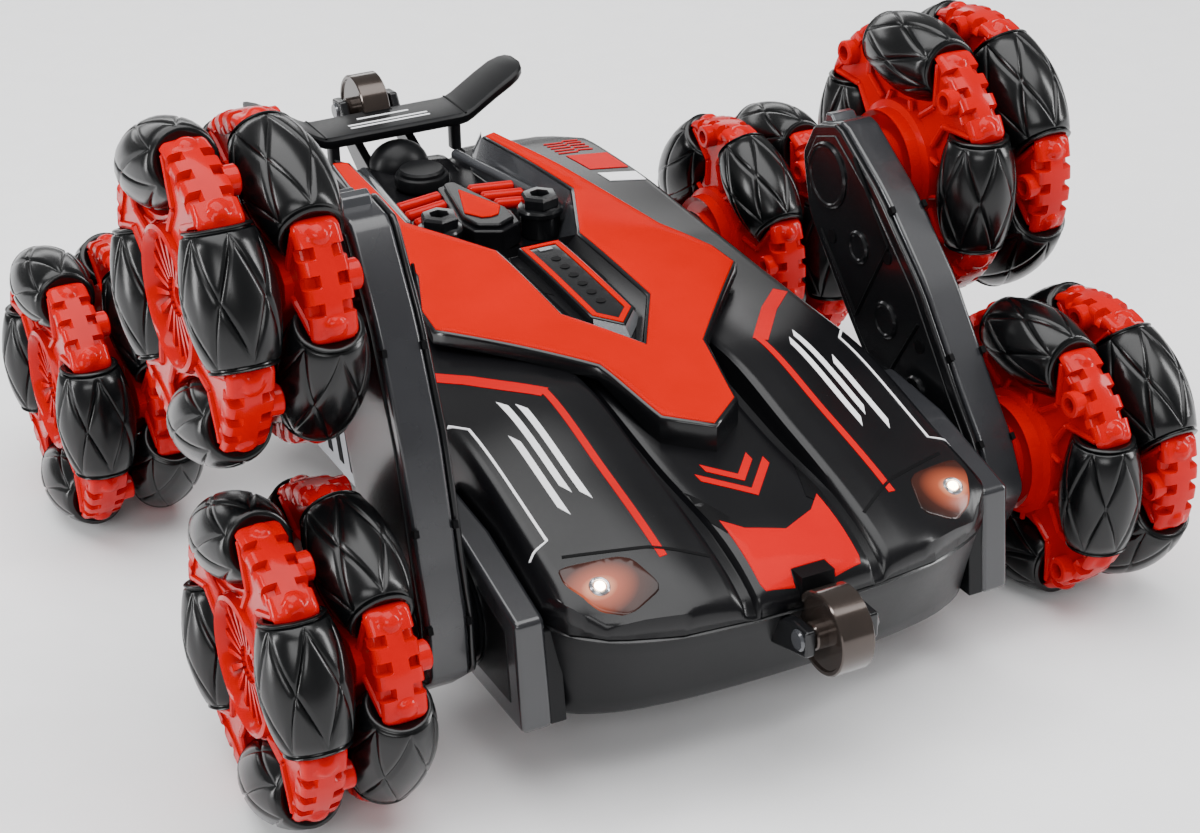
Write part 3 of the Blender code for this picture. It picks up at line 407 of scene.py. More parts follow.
def slab(bm, outline, top, depth, holes=(), soft=0.5, spacing=5.0):
    """A plate whose top follows a height function, with a softened rim and straight sides."""
    outer = resampled(list(outline), spacing)
    holes = [resampled(list(hole), spacing) for hole in holes]
    if soft:
        fill(bm, inset(outer, soft), [inset(hole, -soft) for hole in holes], top, spacing)
    else:
        fill(bm, outer, holes, top, spacing)
    lower = depth if callable(depth) else lambda x, y: top(x, y) - depth
    for loop, sign in [(outer, 1.0)] + [(hole, -1.0) for hole in holes]:
        stages = []
        for part, drop in ((1.0, 0.0), (0.35, 0.3), (0.0, 1.0)) if soft else ((0.0, 0.0),):
            ring = inset(loop, sign * soft * part) if part and soft else loop
            stages.append([(x, y, top(x, y) - soft * drop) for x, y in ring])
        stages.append([(x, y, min(lower(x, y), top(x, y) - soft)) for x, y in loop])
        skin(bm, stages, caps=False)


# -------- wheels

WHEEL_RADIUS = 40.0
PITCH_RADIUS = 29.3
ROW_OFFSET = 9.7
DIAMONDS = 6
DIAMOND_STEPS = (0.0, 0.022, 0.055, 0.15, 0.32, 0.5, 0.68, 0.85, 0.945, 0.978)
GROOVE_DEPTHS = (0.58, 0.40, 0.07, 0.03, -0.03, -0.06, -0.03, 0.03, 0.07, 0.40)
GROOVED_HALF = 13.9
ROLLER_TIP = (
    (14.15, 7.75), (14.4, 7.2), (14.65, 7.25), (14.8, 7.75), (15.15, 7.85), (15.4, 7.5),
    (15.5, 6.7), (15.1, 6.2), (15.1, 3.1), (16.2, 2.9), (17.4, 1.4), (17.4, 0.0),
)
CLIMBING_PHASE = {"left": 25.0, "right": -1.0}


def barrel_radius(along):
    return math.sqrt(WHEEL_RADIUS**2 - along**2) - PITCH_RADIUS


def roller_bmesh():
    """A barrel with criss-cross grooves. Its grid runs along the two families of grooves."""
    bm = bmesh.new()
    steps = len(DIAMOND_STEPS)
    turns, height = DIAMONDS * steps, 2 * steps
    grid = {}
    for i in range(turns):
        for d in range(height + 1):
            p = i // steps + DIAMOND_STEPS[i % steps]
            q = (i + d) // steps + DIAMOND_STEPS[(i + d) % steps]
            along = GROOVED_HALF * (q - p - 1.0)
            depth = max(GROOVE_DEPTHS[i % steps], GROOVE_DEPTHS[(i + d) % steps])
            fade = 0.45 + 0.55 * min((GROOVED_HALF - abs(along)) / 5.0, 1.0)
            radius = barrel_radius(along) - 0.08 - depth * fade
            angle = math.pi * (p + q) / DIAMONDS
            point = (radius * math.cos(angle), radius * math.sin(angle), along)
            grid[i, d] = bm.verts.new(point)
    for i in range(turns):
        following = (i + 1) % turns
        for d in range(height + 1):
            corners = [(i, d), (i, d + 1), (following, d), (following, d - 1)]
            known = [grid[c] for c in corners if c in grid]
            if len(known) >= 3:
                bm.faces.new(known)
    for end, d in ((-1.0, 0), (1.0, height)):
        ring = [grid[i, d] for i in range(turns)]
        angles = [math.atan2(v.co.y, v.co.x) for v in ring]
        for along, radius in ROLLER_TIP:
            if radius == 0.0:
                bm.faces.new(ring)
                break
            places = [(radius * math.cos(a), radius * math.sin(a), end * along) for a in angles]
            following = [bm.verts.new(place) for place in places]
            for i in range(turns):
                j = (i + 1) % turns
                bm.faces.new((ring[i], ring[j], following[j], following[i]))
            ring = following
    return bm


def roller_frame(x, degrees):
    """Local X points away from the wheel's axle and local Z along the roller's own pin."""
    angle = math.radians(degrees)
    out = Vector((0.0, math.cos(angle), math.sin(angle)))
    along = Vector((0.0, -math.sin(angle), math.cos(angle)))
    turned = Matrix((out, along.cross(out), along)).transposed().to_4x4()
    return Matrix.Translation(Vector((x, 0.0, 0.0)) + PITCH_RADIUS * out) @ turned


TREAD_RADIUS = 38.3
TREAD_HALF = 5.5
TREAD_REACH = 13.8
TREAD_CORNER = 2.6
TREAD_BASE = 33.0
NOTCH_PLACES = (-6.1, 0.0, 6.1)
NOTCH_HALF = 1.05
NOTCH_WALL = 0.4
NOTCH_DEPTH = 2.1
NOTCH_INNER = 0.36
BUMP_PLACE = 10.3
BUMP_RADIUS = 2.4


def tread_half(along):
    """Half the block's width, which narrows round its corners."""
    past = abs(along) - (TREAD_REACH - TREAD_CORNER)
    if past <= 0.0:
        return TREAD_HALF
    return TREAD_HALF - TREAD_CORNER * (1.0 - math.sqrt(max(1.0 - (past / TREAD_CORNER) ** 2, 0.0)))


def tread_height(along, share):
    """Height of a tread block: rounded rims, three pairs of notches and a dome at each end."""
    across = share * tread_half(along)
    end = TREAD_REACH - abs(along)
    height = math.sqrt(max(TREAD_RADIUS**2 - along**2, 0.0)) - 0.5 * share**2
    height -= 1.4 * max(0.0, 1.0 - end / 1.8) ** 2
    height -= 1.3 * max(0.0, (abs(share) - 0.8) / 0.2) ** 2
    notch = min(abs(along - place) for place in NOTCH_PLACES)
    into = min(max((NOTCH_HALF + NOTCH_WALL - notch) / NOTCH_WALL, 0.0), 1.0)
    beside = min(max((abs(share) - NOTCH_INNER) / 0.1, 0.0), 1.0)
    height -= NOTCH_DEPTH * into * beside
    dome = 1.0 - ((abs(along) - BUMP_PLACE) ** 2 + across**2) / BUMP_RADIUS**2
    return height + (1.2 * math.sqrt(dome) if dome > 0.0 else 0.0)


def add_tread(bm, x, degrees):
    """The red block between two rollers of one row."""
    ends = (13.8, 13.6, 13.2, 12.6, 12.0, 11.4, 10.8, 10.3, 9.8, 9.2, 8.6, 8.1)
    stations = [sign * s for sign in (-1.0, 1.0) for s in ends]
    stations += [place + d for place in NOTCH_PLACES for d in (-1.45, -1.05, -0.35, 0.35, 1.05, 1.45)]
    stations = sorted(stations + [-3.1, 3.1])
    half = (1.0, 0.96, 0.9, 0.8, 0.66, 0.47, 0.36, 0.27, 0.14)
    shares = [-a for a in half] + [0.0] + list(reversed(half))
    matrix = upright(x, 0.0, 0.0) @ about_x(degrees)
    loops = []
    for along in stations:
        wide = tread_half(along)
        base = TREAD_BASE + abs(along) * 0.12
        loop = [(0.94 * wide * shares[0], base)]
        loop += [(share * wide, tread_height(along, share)) for share in shares]
        loop += [(0.94 * wide * shares[-1], base)]
        loops.append([matrix @ Vector((a, up, -along)) for a, up in loop])
    skin(bm, loops)
    eyelet = matrix @ along_x(-4.6, 34.0, 0.0, -1.0)
    lathe(bm, ((2.0, 3.4), (2.0, 0.0), (3.5, 0.0), (3.5, 3.0), (3.1, 3.4), (2.0, 3.4)), 22, eyelet)


def add_bracket(bm, x, degrees):
    """One arm of the wheel centre, between two rollers of a row, with its tread block."""
    add_tread(bm, x, degrees)
    half = ((15.6, 5.0), (25.4, 3.4), (30.0, 7.7), (34.4, 11.6))
    outline = list(half) + [(along, -across) for along, across in reversed(half)]
    matrix = upright(x, 0.0, 0.0) @ about_x(degrees)
    prism(bm, outline, -4.6, 4.6, "X", matrix)
    for x_side in (-4.7, 4.7):
        for sign in (-1.0, 1.0):
            start = matrix @ Vector((x_side, 17.0, sign * 4.6))
            waist = matrix @ Vector((x_side, 25.4, sign * 3.0))
            end = matrix @ Vector((x_side, 34.2, sign * 11.0))
            rod(bm, start, waist, 0.9, 8)
            rod(bm, waist, end, 0.9, 8)


def web_outline(first):
    """A four-pointed star that stays clear of the four rollers of its row."""
    points = []
    for i in range(4):
        bracket = first + 90.0 * i
        for across, along in ((-4.2, 25.6), (0.0, 27.5), (4.2, 25.6)):
            points.append((along, across, bracket))
        for u in (-11.0, -5.5, 0.0, 5.5, 11.0):
            points.append((PITCH_RADIUS - barrel_radius(u) - 0.35, u, bracket + 45.0))
    outline = []
    for along, across, degrees in points:
        c, s = polar(1.0, degrees)
        outline.append((along * c - across * s, along * s + across * c))
    return outline


HUB_PROFILE = (
    (0.0, -21.2), (9.0, -21.2), (9.6, -20.6), (9.6, -19.2), (13.4, -19.2), (14.8, -20.4),
    (15.2, -17.0), (17.0, -16.2), (17.2, -14.0), (17.2, 14.2), (16.9, 15.8), (15.9, 16.2),
    (15.0, 15.4), (14.2, 11.0), (6.0, 8.0), (5.2, 8.6), (5.0, 12.2), (4.4, 13.0), (2.2, 13.1),
    (2.0, 11.2), (0.0, 11.2),
)
HUB_STUB = ((0.0, -27.8), (2.6, -27.8), (3.05, -27.3), (3.05, -20.0), (0.0, -20.0))
BLADES = 20
BLADE = ((4.6, -0.35), (14.9, 0.3), (14.9, 2.1), (4.6, 0.45))
# margin, level, depth and opening radius of the plates round the turbine
PLATES = ((0.0, 13.2, 9.0, 15.6), (1.5, 14.2, 1.4, 17.4))


def add_plate(bm, outline, level, depth, hole):
    """A flat plate with a round opening, facing outboard."""
    known = len(bm.verts)
    slab(bm, outline, lambda x, y: level, depth, holes=[hole], soft=0.3, spacing=4.0)
    bmesh.ops.transform(bm, matrix=along_x(0.0, 0.0, 0.0), verts=list(bm.verts)[known:])


def hub_bmesh():
    """A whole wheel centre, outboard along +X, with the outer row's first bracket at 0."""
    bm = bmesh.new()
    for row, first in ((1.0, 0.0), (-1.0, 45.0)):
        middle = row * ROW_OFFSET
        for i in range(4):
            add_bracket(bm, middle, first + 90.0 * i)
        web = web_outline(first)
        if row < 0.0:
            prism(bm, web, -13.2, -3.0, "X")
            continue
        for margin, level, depth, opening in PLATES:
            hole = [polar(opening, 7.5 * k) for k in range(48)]
            add_plate(bm, inset(web, margin) if margin else web, level, depth, hole)
    axis = along_x(0.0, 0.0, 0.0)
    lathe(bm, HUB_PROFILE, 48, axis)
    lathe(bm, HUB_STUB, 20, axis)
    for i in range(BLADES):
        prism(bm, BLADE, 8.0, 13.8, "X", about_x(360.0 / BLADES * i))
    for i in range(8):
        twist = about_x(45.0 * i + 22.5)
        start = twist @ Vector((-15.2, 15.6, 0.0))
        end = twist @ Vector((-14.6, 19.0, 3.0 if i % 2 else -3.0))
        rod(bm, start, end, 0.8, 6)
    return bm


def make_wheel(name, side, centre, phase, hub_mesh, roller_mesh):
    body = name + "_wheel"
    turned = about_x(phase)
    if side < 0.0:
        turned = turned @ Matrix.Rotation(math.pi, 4, "Y")
    hub = hub_mesh.copy()
    hub.transform(turned)
    place = upright(*centre * MM)
    place_mesh(name + "_wheel_centre", hub, body, [name + "_hub"], place=place)
    rows = (("outer", side * ROW_OFFSET, phase + 45.0), ("inner", -side * ROW_OFFSET, phase))
    for row, x, first in rows:
        for i in range(4):
            shift = roller_frame(x, first + 90.0 * i)
            shift.translation *= MM
            place = upright(*centre * MM) @ shift
            label = f"{name}_{row}_roller_{i + 1}"
            owner, stands_for = label, [label]
            if name.startswith("climbing"):
                owner, stands_for = body, [name + "_rollers"] if (row, i) == ("outer", 0) else []
            place_mesh(label + "_barrel", roller_mesh, owner, stands_for, place=place)


def make_wheels():
    hub_mesh = plain_mesh("wheel_centre", hub_bmesh(), WHEEL_RED, 40.0)
    roller_mesh = plain_mesh("barrel_roller", roller_bmesh(), ROLLER_BLACK, 60.0)
    for word, side in SIDES:
        for end in ("front", "rear", "climbing"):
            name = f"{end}_{word}"
            centre = Vector(JOINTS[name + "_spin"]["pos_m"]) / MM
            if end == "climbing":
                phase = CLIMBING_PHASE[word]
            else:
                first = Vector(JOINTS[name + "_outer_roller_1_spin"]["pos_m"]) / MM - centre
                phase = math.degrees(math.atan2(first.z, first.y)) - 45.0
            make_wheel(name, side, centre, phase, hub_mesh, roller_mesh)


# -------- swing arms

ARM_OUTLINE = (
    (-13.0, -12.5), (-18.0, 0.0), (-13.0, 12.5), (1.7, 16.8), (14.9, 17.5), (43.5, 20.4),
    (71.6, 18.6), (95.2, 13.2), (100.8, 1.8), (97.6, -9.0), (82.9, -17.7), (48.4, -18.7),
    (14.0, -17.5),
)
# how far out the lid's two faces and the tray's two faces are
ARM_FACES = (71.0, 72.7, 72.9, 83.0)
ARM_BOSSES = ((64.0, 1.0, 4.6), (43.0, 0.0, 5.2), (22.0, 0.5, 4.4), (0.0, 0.0, 12.5))
ARM_SCREWS = ((72.0, -9.5), (31.0, 10.5), (12.0, -10.0), (56.0, 12.0))
ARM_SEAMS = (
    ((58.0, 14.5), (50.0, -13.0)), ((36.0, 14.0), (30.0, -12.0)), ((84.0, 15.0), (58.0, 14.5)),
    ((76.0, -13.0), (50.0, -13.0)),
)
# places of the small dark blocks painted as the shade of the notches along the tray's edges
ARM_NOTCH_SHADES = ((66.0, 19.0), (24.0, 18.6), (66.0, -18.2), (26.0, -18.0), (0.5, 16.2))
TIP_LUG = ((94.0, -2.6), (100.4, -2.2), (102.0, 0.0), (100.4, 2.2), (94.0, 2.6))


def arm_frame(word):
    """Local X outboard, Y along the arm and Z across it, with the pivot at the origin."""
    pivot = Vector(JOINTS[f"arm_{word}_swing"]["pos_m"])
    tip = Vector(JOINTS[f"climbing_{word}_spin"]["pos_m"])
    length = math.hypot(tip.y - pivot.y, tip.z - pivot.z) / MM
    angle = math.atan2(tip.z - pivot.z, tip.y - pivot.y)
    return Matrix.Translation(pivot) @ Matrix.Rotation(angle, 4, "X"), length


def make_arm(word, side):
    place, length = arm_frame(word)
    hang = {"body": "arm_" + word, "place": place}
    inner, cover_top, tray_low, outer = [side * x for x in ARM_FACES]
    outline = list(ARM_OUTLINE)
    if side > 0.0:
        outline = outline[::-1]

    bm = bmesh.new()
    # The tray takes the lighter black, whose raised base paints in the grey sheen on its lit edges.
    prism(bm, rounded(outline, 0.10, 1), tray_low, outer, "X")
    piece(f"arm_tray_{word}", bm, SHEEN_LIFTED_BLACK, [f"swing_arm_{word}"], 1.2, slot="gloss_black", **hang)
    prism(bm, inset(rounded(outline, 0.10, 1), 0.5), inner, cover_top, "X")
    piece(f"arm_lid_{word}", bm, BLACK, [f"arm_cover_{word}"], 0.8, slot="satin_black", **hang)

    recess = inset(outline, 3.4)
    prism(bm, recess, inner - side * 0.4, inner + side * 0.5, "X")
    prism(bm, inset(outline, 3.6), outer - side * 0.3, outer + side * 0.5, "X")
    piece(f"arm_panels_{word}", bm, BLACK, bevel=0.35, **hang)

    for at, across, radius in ((length, 0.0, 9.2), *ARM_BOSSES):
        disc = along_x(inner - side * 0.4, at, across, -side)
        profile = ((0.0, 0.5), (radius - 1.5, 0.5), (radius - 1.1, 0.9), (radius - 0.5, 0.95),
                   (radius, 0.4), (radius, -0.6), (0.0, -0.6))
        lathe(bm, profile, 36, disc)
    for at, radius in ((length, 10.5), (0.0, 11.0)):
        disc = along_x(outer, at, 0.0, side)
        profile = ((0.0, 1.6), (4.6, 1.6), (5.0, 1.2), (radius - 2.4, 1.0), (radius - 1.8, 1.5),
                   (radius - 0.6, 1.4), (radius, 0.6), (radius, -0.6), (0.0, -0.6))
        lathe(bm, profile, 40, disc)
    piece(f"arm_bosses_{word}", bm, BLACK, **hang)

    # Painted shade: dark discs for the screw holes and small dark blocks for the notches along the tray's
    # edges; the thin ribs are dark seam lines.
    for at, across in ARM_SCREWS:
        hole = along_x(inner - side * 0.72, at, across, -side)
        lathe(bm, ((0.0, 0.0), (1.9, 0.0), (1.9, -0.5), (0.0, -0.5)), 20, hole)
    for start, end in ARM_SEAMS:
        rod(bm, (inner - side * 0.45, *start), (inner - side * 0.45, *end), 0.45, 6)
    for at, across in ARM_NOTCH_SHADES:
        for x in (tray_low - side * 0.5, outer - side * 0.9):
            low, high = sorted((x - side * 0.1, x + side * 1.1))
            box(bm, (low, at - 0.9, across - 1.0), (high, at + 0.9, across + 1.0))
    piece(f"arm_hole_notch_shade_and_seams_{word}", bm, SHADE_AND_SEAM_BLACK, **hang)

    for across in (-4.6, 4.6):
        cheek = [(at, across + offset) for at, offset in TIP_LUG]
        prism(bm, cheek, tray_low + side * 1.4, outer - side * 1.2, "X")
    piece(f"arm_tip_lugs_{word}", bm, STEEL, bevel=0.6, **hang)


# -------- chassis

RIM_OUTLINE = (
    (0.0, -130.7), (16.0, -130.3), (35.0, -128.3), (49.0, -122.8), (57.0, -115.5),
    (60.2, -107.0), (60.0, -20.0), (60.0, 60.0), (58.0, 104.0), (48.0, 119.0), (0.0, 124.0),
)
FLOOR_OUTLINE = (
    (0.0, -119.0), (14.0, -118.8), (28.0, -118.0), (44.0, -115.5), (55.0, -110.5),
    (58.5, -104.0), (57.0, -20.0), (57.0, 58.0), (54.0, 96.0), (44.0, 107.0), (0.0, 110.0),
)
FLOOR_Z = 22.0
SPLIT_Z = 48.0
AXLE_Z = 40.0
FRONT_Y = JOINTS["front_left_spin"]["pos_m"][1] / MM
REAR_Y = JOINTS["rear_left_spin"]["pos_m"][1] / MM


def smooth_plan(half):
    return rounded(mirrored(half), 0.22, 2)


def tub_loop(share, pull, z):
    """A level outline of the tub, from the floor (0) to the rim (1), drawn in by the pull."""
    floor, rim = smooth_plan(FLOOR_OUTLINE), smooth_plan(RIM_OUTLINE)
    loop = [(ax + (bx - ax) * share, ay + (by - ay) * share) for (ax, ay), (bx, by) in zip(floor, rim)]
    return [(x, y, z) for x, y in inset(loop, pull)]


def make_tub():
    bm = bmesh.new()
    wall = [(share, 0.0, FLOOR_Z + (SPLIT_Z - FLOOR_Z) * share) for share in (0.06, 0.2, 0.4, 0.6, 0.8)]
    stages = [(0.0, 6.0, FLOOR_Z), (0.0, 1.2, FLOOR_Z), (0.0, 0.3, FLOOR_Z + 0.5), *wall,
              (0.93, 0.0, 46.4), (0.98, 0.3, 47.4), (1.0, 1.3, 47.9), (1.0, 2.6, SPLIT_Z),
              (1.0, 3.4, 46.0), (0.9, 4.0, 40.0)]
    skin(bm, [tub_loop(*stage) for stage in stages])
    piece("chassis_body", bm, SATIN, ["chassis_tub"], sharp=50.0, slot="satin_black")

    top = [tub_loop(0.955, -0.10, 46.9), tub_loop(0.985, -0.35, 47.5), tub_loop(1.0, 0.6, 48.15)]
    skin(bm, top, caps=False)
    piece("bumper_beads", bm, BLACK, sharp=60.0)


SIDE_PLATE = (
    (-113.0, 22.5), (-110.2, 50.7), (-81.0, 59.0), (-58.0, 61.0), (-48.0, 48.0), (-52.0, 22.5),
)
CORNER_WEB = ((-112.5, 23.0), (-109.9, 47.0), (-60.0, 47.0), (-60.0, 23.0))
SIDE_PANEL = ((-44.0, 27.0), (-46.0, 46.6), (52.0, 46.6), (56.0, 40.0), (52.0, 27.0))
SIDE_HOLE = ((-16.0, 38.0), (-4.0, 38.0), (-4.0, 43.5), (-16.0, 43.5))
SIDE_SLOT = ((0.0, 31.0), (3.0, 31.0), (6.5, 43.0), (3.5, 43.0))


def make_side_plates():
    for word, side in SIDES:
        bm = bmesh.new()
        # The corner plate takes the same lighter black, a painted sheen on its glossy face.
        prism(bm, SIDE_PLATE, side * 60.2, side * 68.0, "X")
        piece(f"corner_plate_{word}", bm, SHEEN_LIFTED_BLACK, bevel=1.4)
        prism(bm, inset(SIDE_PLATE, 5.5), side * 67.6, side * 68.2, "X")
        prism(bm, CORNER_WEB, side * 56.5, side * 60.6, "X")
        piece(f"corner_web_{word}", bm, SATIN, bevel=0.5)
        pivot = along_x(0.0, FRONT_Y, AXLE_Z, side)
        collar = [(0.0, 66.9), (14.6, 66.9), (14.6, 68.4)]
        for ring in range(3):
            base = 68.4 + ring * 0.75
            collar += [(13.6 - ring, base), (13.9 - ring, base + 0.3), (13.4 - ring, base + 0.7)]
        collar += [(7.9, 70.7), (7.9, 78.0), (0.0, 78.0)]
        lathe(bm, collar, 40, pivot)
        piece(f"pivot_collar_{word}", bm, BLACK)
        rear = along_x(0.0, REAR_Y, AXLE_Z, side)
        housing = [(0.0, 56.5), (20.0, 56.5), (20.0, 60.6), (18.5, 61.6), (13.6, 62.2), (12.9, 63.4)]
        for x in (66.0, 70.5, 75.0):
            housing += [(12.7, x), (13.0, x + 0.5), (13.0, x + 1.7), (12.5, x + 2.2)]
        housing += [(12.4, 80.0), (11.0, 81.5), (11.0, 84.8), (10.2, 85.8), (3.3, 85.8), (3.3, 79.0)]
        housing += [(0.0, 79.0)]
        lathe(bm, housing, 40, rear)
        piece(f"rear_gearbox_{word}", bm, SATIN)
        prism(bm, SIDE_PANEL, side * 58.9, side * 60.5, "X")
        piece(f"side_panel_{word}", bm, PALE_PANEL, bevel=0.5)
        # Painted shade: thin dark sheets stand for the opening and the slots in the side panel.
        prism(bm, rounded(SIDE_HOLE, 0.2, 2), side * 60.4, side * 60.7, "X")
        for y in (6.0, 14.0, 22.0, 30.0):
            prism(bm, [(y + a, z) for a, z in SIDE_SLOT], side * 60.4, side * 60.7, "X")
        piece(f"side_slot_shade_{word}", bm, SHADE_AND_SEAM_BLACK)


END_ROLLER = (
    (10.25, 4.1), (9.9, 4.4), (9.1, 4.4), (8.8, 3.9), (3.4, 3.9), (3.4, 6.2), (3.0, 6.6),
    (1.7, 6.7), (1.7, 9.1), (1.4, 9.4), (0.0, 9.4),
)


def make_end_roller(name, ear_outline):
    joint = Vector(JOINTS[name + "_spin"]["pos_m"]) / MM
    bm = bmesh.new()
    far_half = [(radius, -height) for radius, height in reversed(END_ROLLER)]
    lathe(bm, far_half + list(END_ROLLER), 64, along_x(*joint))
    piece(name + "_wheel", bm, GUNMETAL, [name], sharp=28.0, body=name, slot="gunmetal")
    for side in (-1.0, 1.0):
        prism(bm, ear_outline, side * 7.0, side * 9.8, "X")
    piece(name + "_ears", bm, BLACK, bevel=0.7)
    for side in (-1.0, 1.0):
        cap = along_x(side * 9.6, joint.y, joint.z, side)
        lathe(bm, ((0.0, 0.9), (2.2, 0.9), (2.7, 0.4), (2.7, -0.2), (0.0, -0.2)), 24, cap)
    piece(name + "_pin_caps", bm, STEEL)


NOSE_EAR = (
    (-141.2, 41.6), (-141.2, 48.4), (-135.0, 48.4), (-131.4, 47.4), (-126.5, 44.0),
    (-121.0, 36.0),
)
TAIL_EAR = (
    (141.2, 79.8), (141.2, 86.2), (135.0, 86.8), (131.0, 80.4), (112.0, 72.4), (112.0, 68.0),
    (120.0, 66.0),
)


# -------- body shell

CENTRE_HEIGHTS = (
    (-130.7, 48.6), (-128.5, 53.7), (-108.0, 62.0), (-83.0, 65.0), (-47.0, 71.5), (-20.0, 74.0),
    (12.0, 75.0), (17.0, 71.0), (104.0, 71.0), (108.0, 73.0), (124.0, 71.5),
)
PONTOON_HEIGHTS = (
    (-130.7, 48.6), (-127.0, 54.0), (-113.0, 60.4), (-83.0, 68.2), (-50.0, 75.0), (-20.0, 75.2),
    (20.0, 76.5), (60.0, 77.0), (100.0, 75.5), (112.0, 73.6), (124.0, 71.5),
)
WING_HEIGHTS = (
    (-121.0, 48.6), (-114.0, 56.0), (-96.0, 61.3), (-54.5, 70.9), (-20.0, 72.5), (30.0, 75.0),
    (65.0, 76.5), (90.0, 76.0), (108.0, 73.5), (124.0, 70.0),
)
SHELL_BASE = SPLIT_Z + 0.35
SHELL_SIDE = 60.0
SHOULDER = 56.0
GROOVE_DEPTH = 2.2
BAY_Y = (15.0, 106.0)
REAR_ROUNDING = 9.0


def shell_top(x, y):
    """Height of the body's surface: a spine between two grooves, pontoons, then the wings."""
    across = abs(x)
    centre = eased(CENTRE_HEIGHTS, y)
    pontoon = eased(PONTOON_HEIGHTS, y)
    wing = eased(WING_HEIGHTS, y)
    if BAY_Y[0] < y < BAY_Y[1]:
        table = ((0.0, centre), (21.0, centre), (28.0, pontoon), (34.0, pontoon), (SHOULDER, wing))
        height = straight(table, across)
    else:
        floor = min(centre, pontoon) - GROOVE_DEPTH
        table = ((0.0, centre), (13.6, centre - 0.3), (15.2, centre - 0.8), (16.0, floor), (18.4, floor),
                 (19.4, pontoon - 0.8), (20.8, pontoon - 0.1), (28.0, pontoon + 0.2), (34.0, pontoon - 0.3),
                 (SHOULDER, wing))
        height = straight(table, across)
    if across > SHOULDER:
        part = min((across - SHOULDER) / (SHELL_SIDE - SHOULDER), 1.0)
        height = SHELL_BASE + (wing - SHELL_BASE) * math.sqrt(max(1.0 - part * part, 0.0))
    past = 1.0 - (edge_y(x, 1.0) - y) / REAR_ROUNDING
    if past > 0.0:
        height = SHELL_BASE + (height - SHELL_BASE) * math.sqrt(max(1.0 - past * past, 0.0))
    return max(height, SHELL_BASE)


def edge_y(x, sign):
    points = [(px, py) for px, py in RIM_OUTLINE if py * sign > 90.0]
    return straight(sorted(points), abs(x))


def make_shell():
    half = (0.0, 4.0, 8.0, 11.5, 13.6, 14.5, 15.2, 15.6, 16.0, 17.2, 18.4, 18.9, 19.4, 20.0, 20.8, 21.5,
            23.0, 25.5, 28.0, 31.0, 34.0, 38.0, 42.0, 46.0, 50.0, 53.0, 54.5, 55.8, 57.0, 58.0, 58.8,
            59.4, 59.8, 60.0)
    columns = [-x for x in reversed(half) if x > 0.0] + list(half)
    rows = [0.0, 0.004, 0.008, 0.014, 0.02, 0.028, 0.038]
    rows += [0.05 + 0.0135 * k for k in range(66)]
    rows += [0.944, 0.951, 0.958, 0.966, 0.972, 0.978, 0.984, 0.99, 0.995, 1.0]
    bm = bmesh.new()
    grid = []
    for t in rows:
        line = []
        for x in columns:
            front, back = edge_y(x, -1.0), edge_y(x, 1.0)
            y = front + t * (back - front)
            height = SHELL_BASE if t in (0.0, 1.0) else shell_top(x, y)
            line.append(bm.verts.new((x, y, height)))
        grid.append(line)
    for low, high in zip(grid, grid[1:]):
        for i in range(len(low) - 1):
            bm.faces.new((low[i], low[i + 1], high[i + 1], high[i]))
    shell = piece("upper_shell", bm, SHELL_BLACK, ["body_shell"], sharp=38.0, slot="gloss_black")
    thick = shell.modifiers.new("wall", "SOLIDIFY")
    thick.thickness = 1.6 * MM
    thick.offset = -1.0


def drape(lift):
    return lambda x, y: shell_top(x, y) + lift


def add_decal(bm, outline, lift=0.12, spacing=3.0):
    """A thin print that follows the shell, on both sides of the car."""
    for loop in (outline, flipped(outline)):
        slab(bm, loop, drape(lift), 0.3, soft=0.0, spacing=spacing)


def band(points, width):
    """A closed outline of even width round an open line of points."""
    left, right = [], []
    for i, point in enumerate(points):
        before = Vector(points[max(i - 1, 0)])
        after = Vector(points[min(i + 1, len(points) - 1)])
        along = (after - before).normalized()
        across = Vector((-along.y, along.x)) * width / 2.0
        left.append(tuple(Vector(point) + across))
        right.append(tuple(Vector(point) - across))
    return left + right[::-1]


NOSE_PANEL = (
    (0.0, -115.6), (9.0, -112.0), (13.4, -107.4), (13.4, -126.5), (12.8, -128.2), (5.4, -129.0),
    (4.6, -125.4), (0.0, -125.4),
)


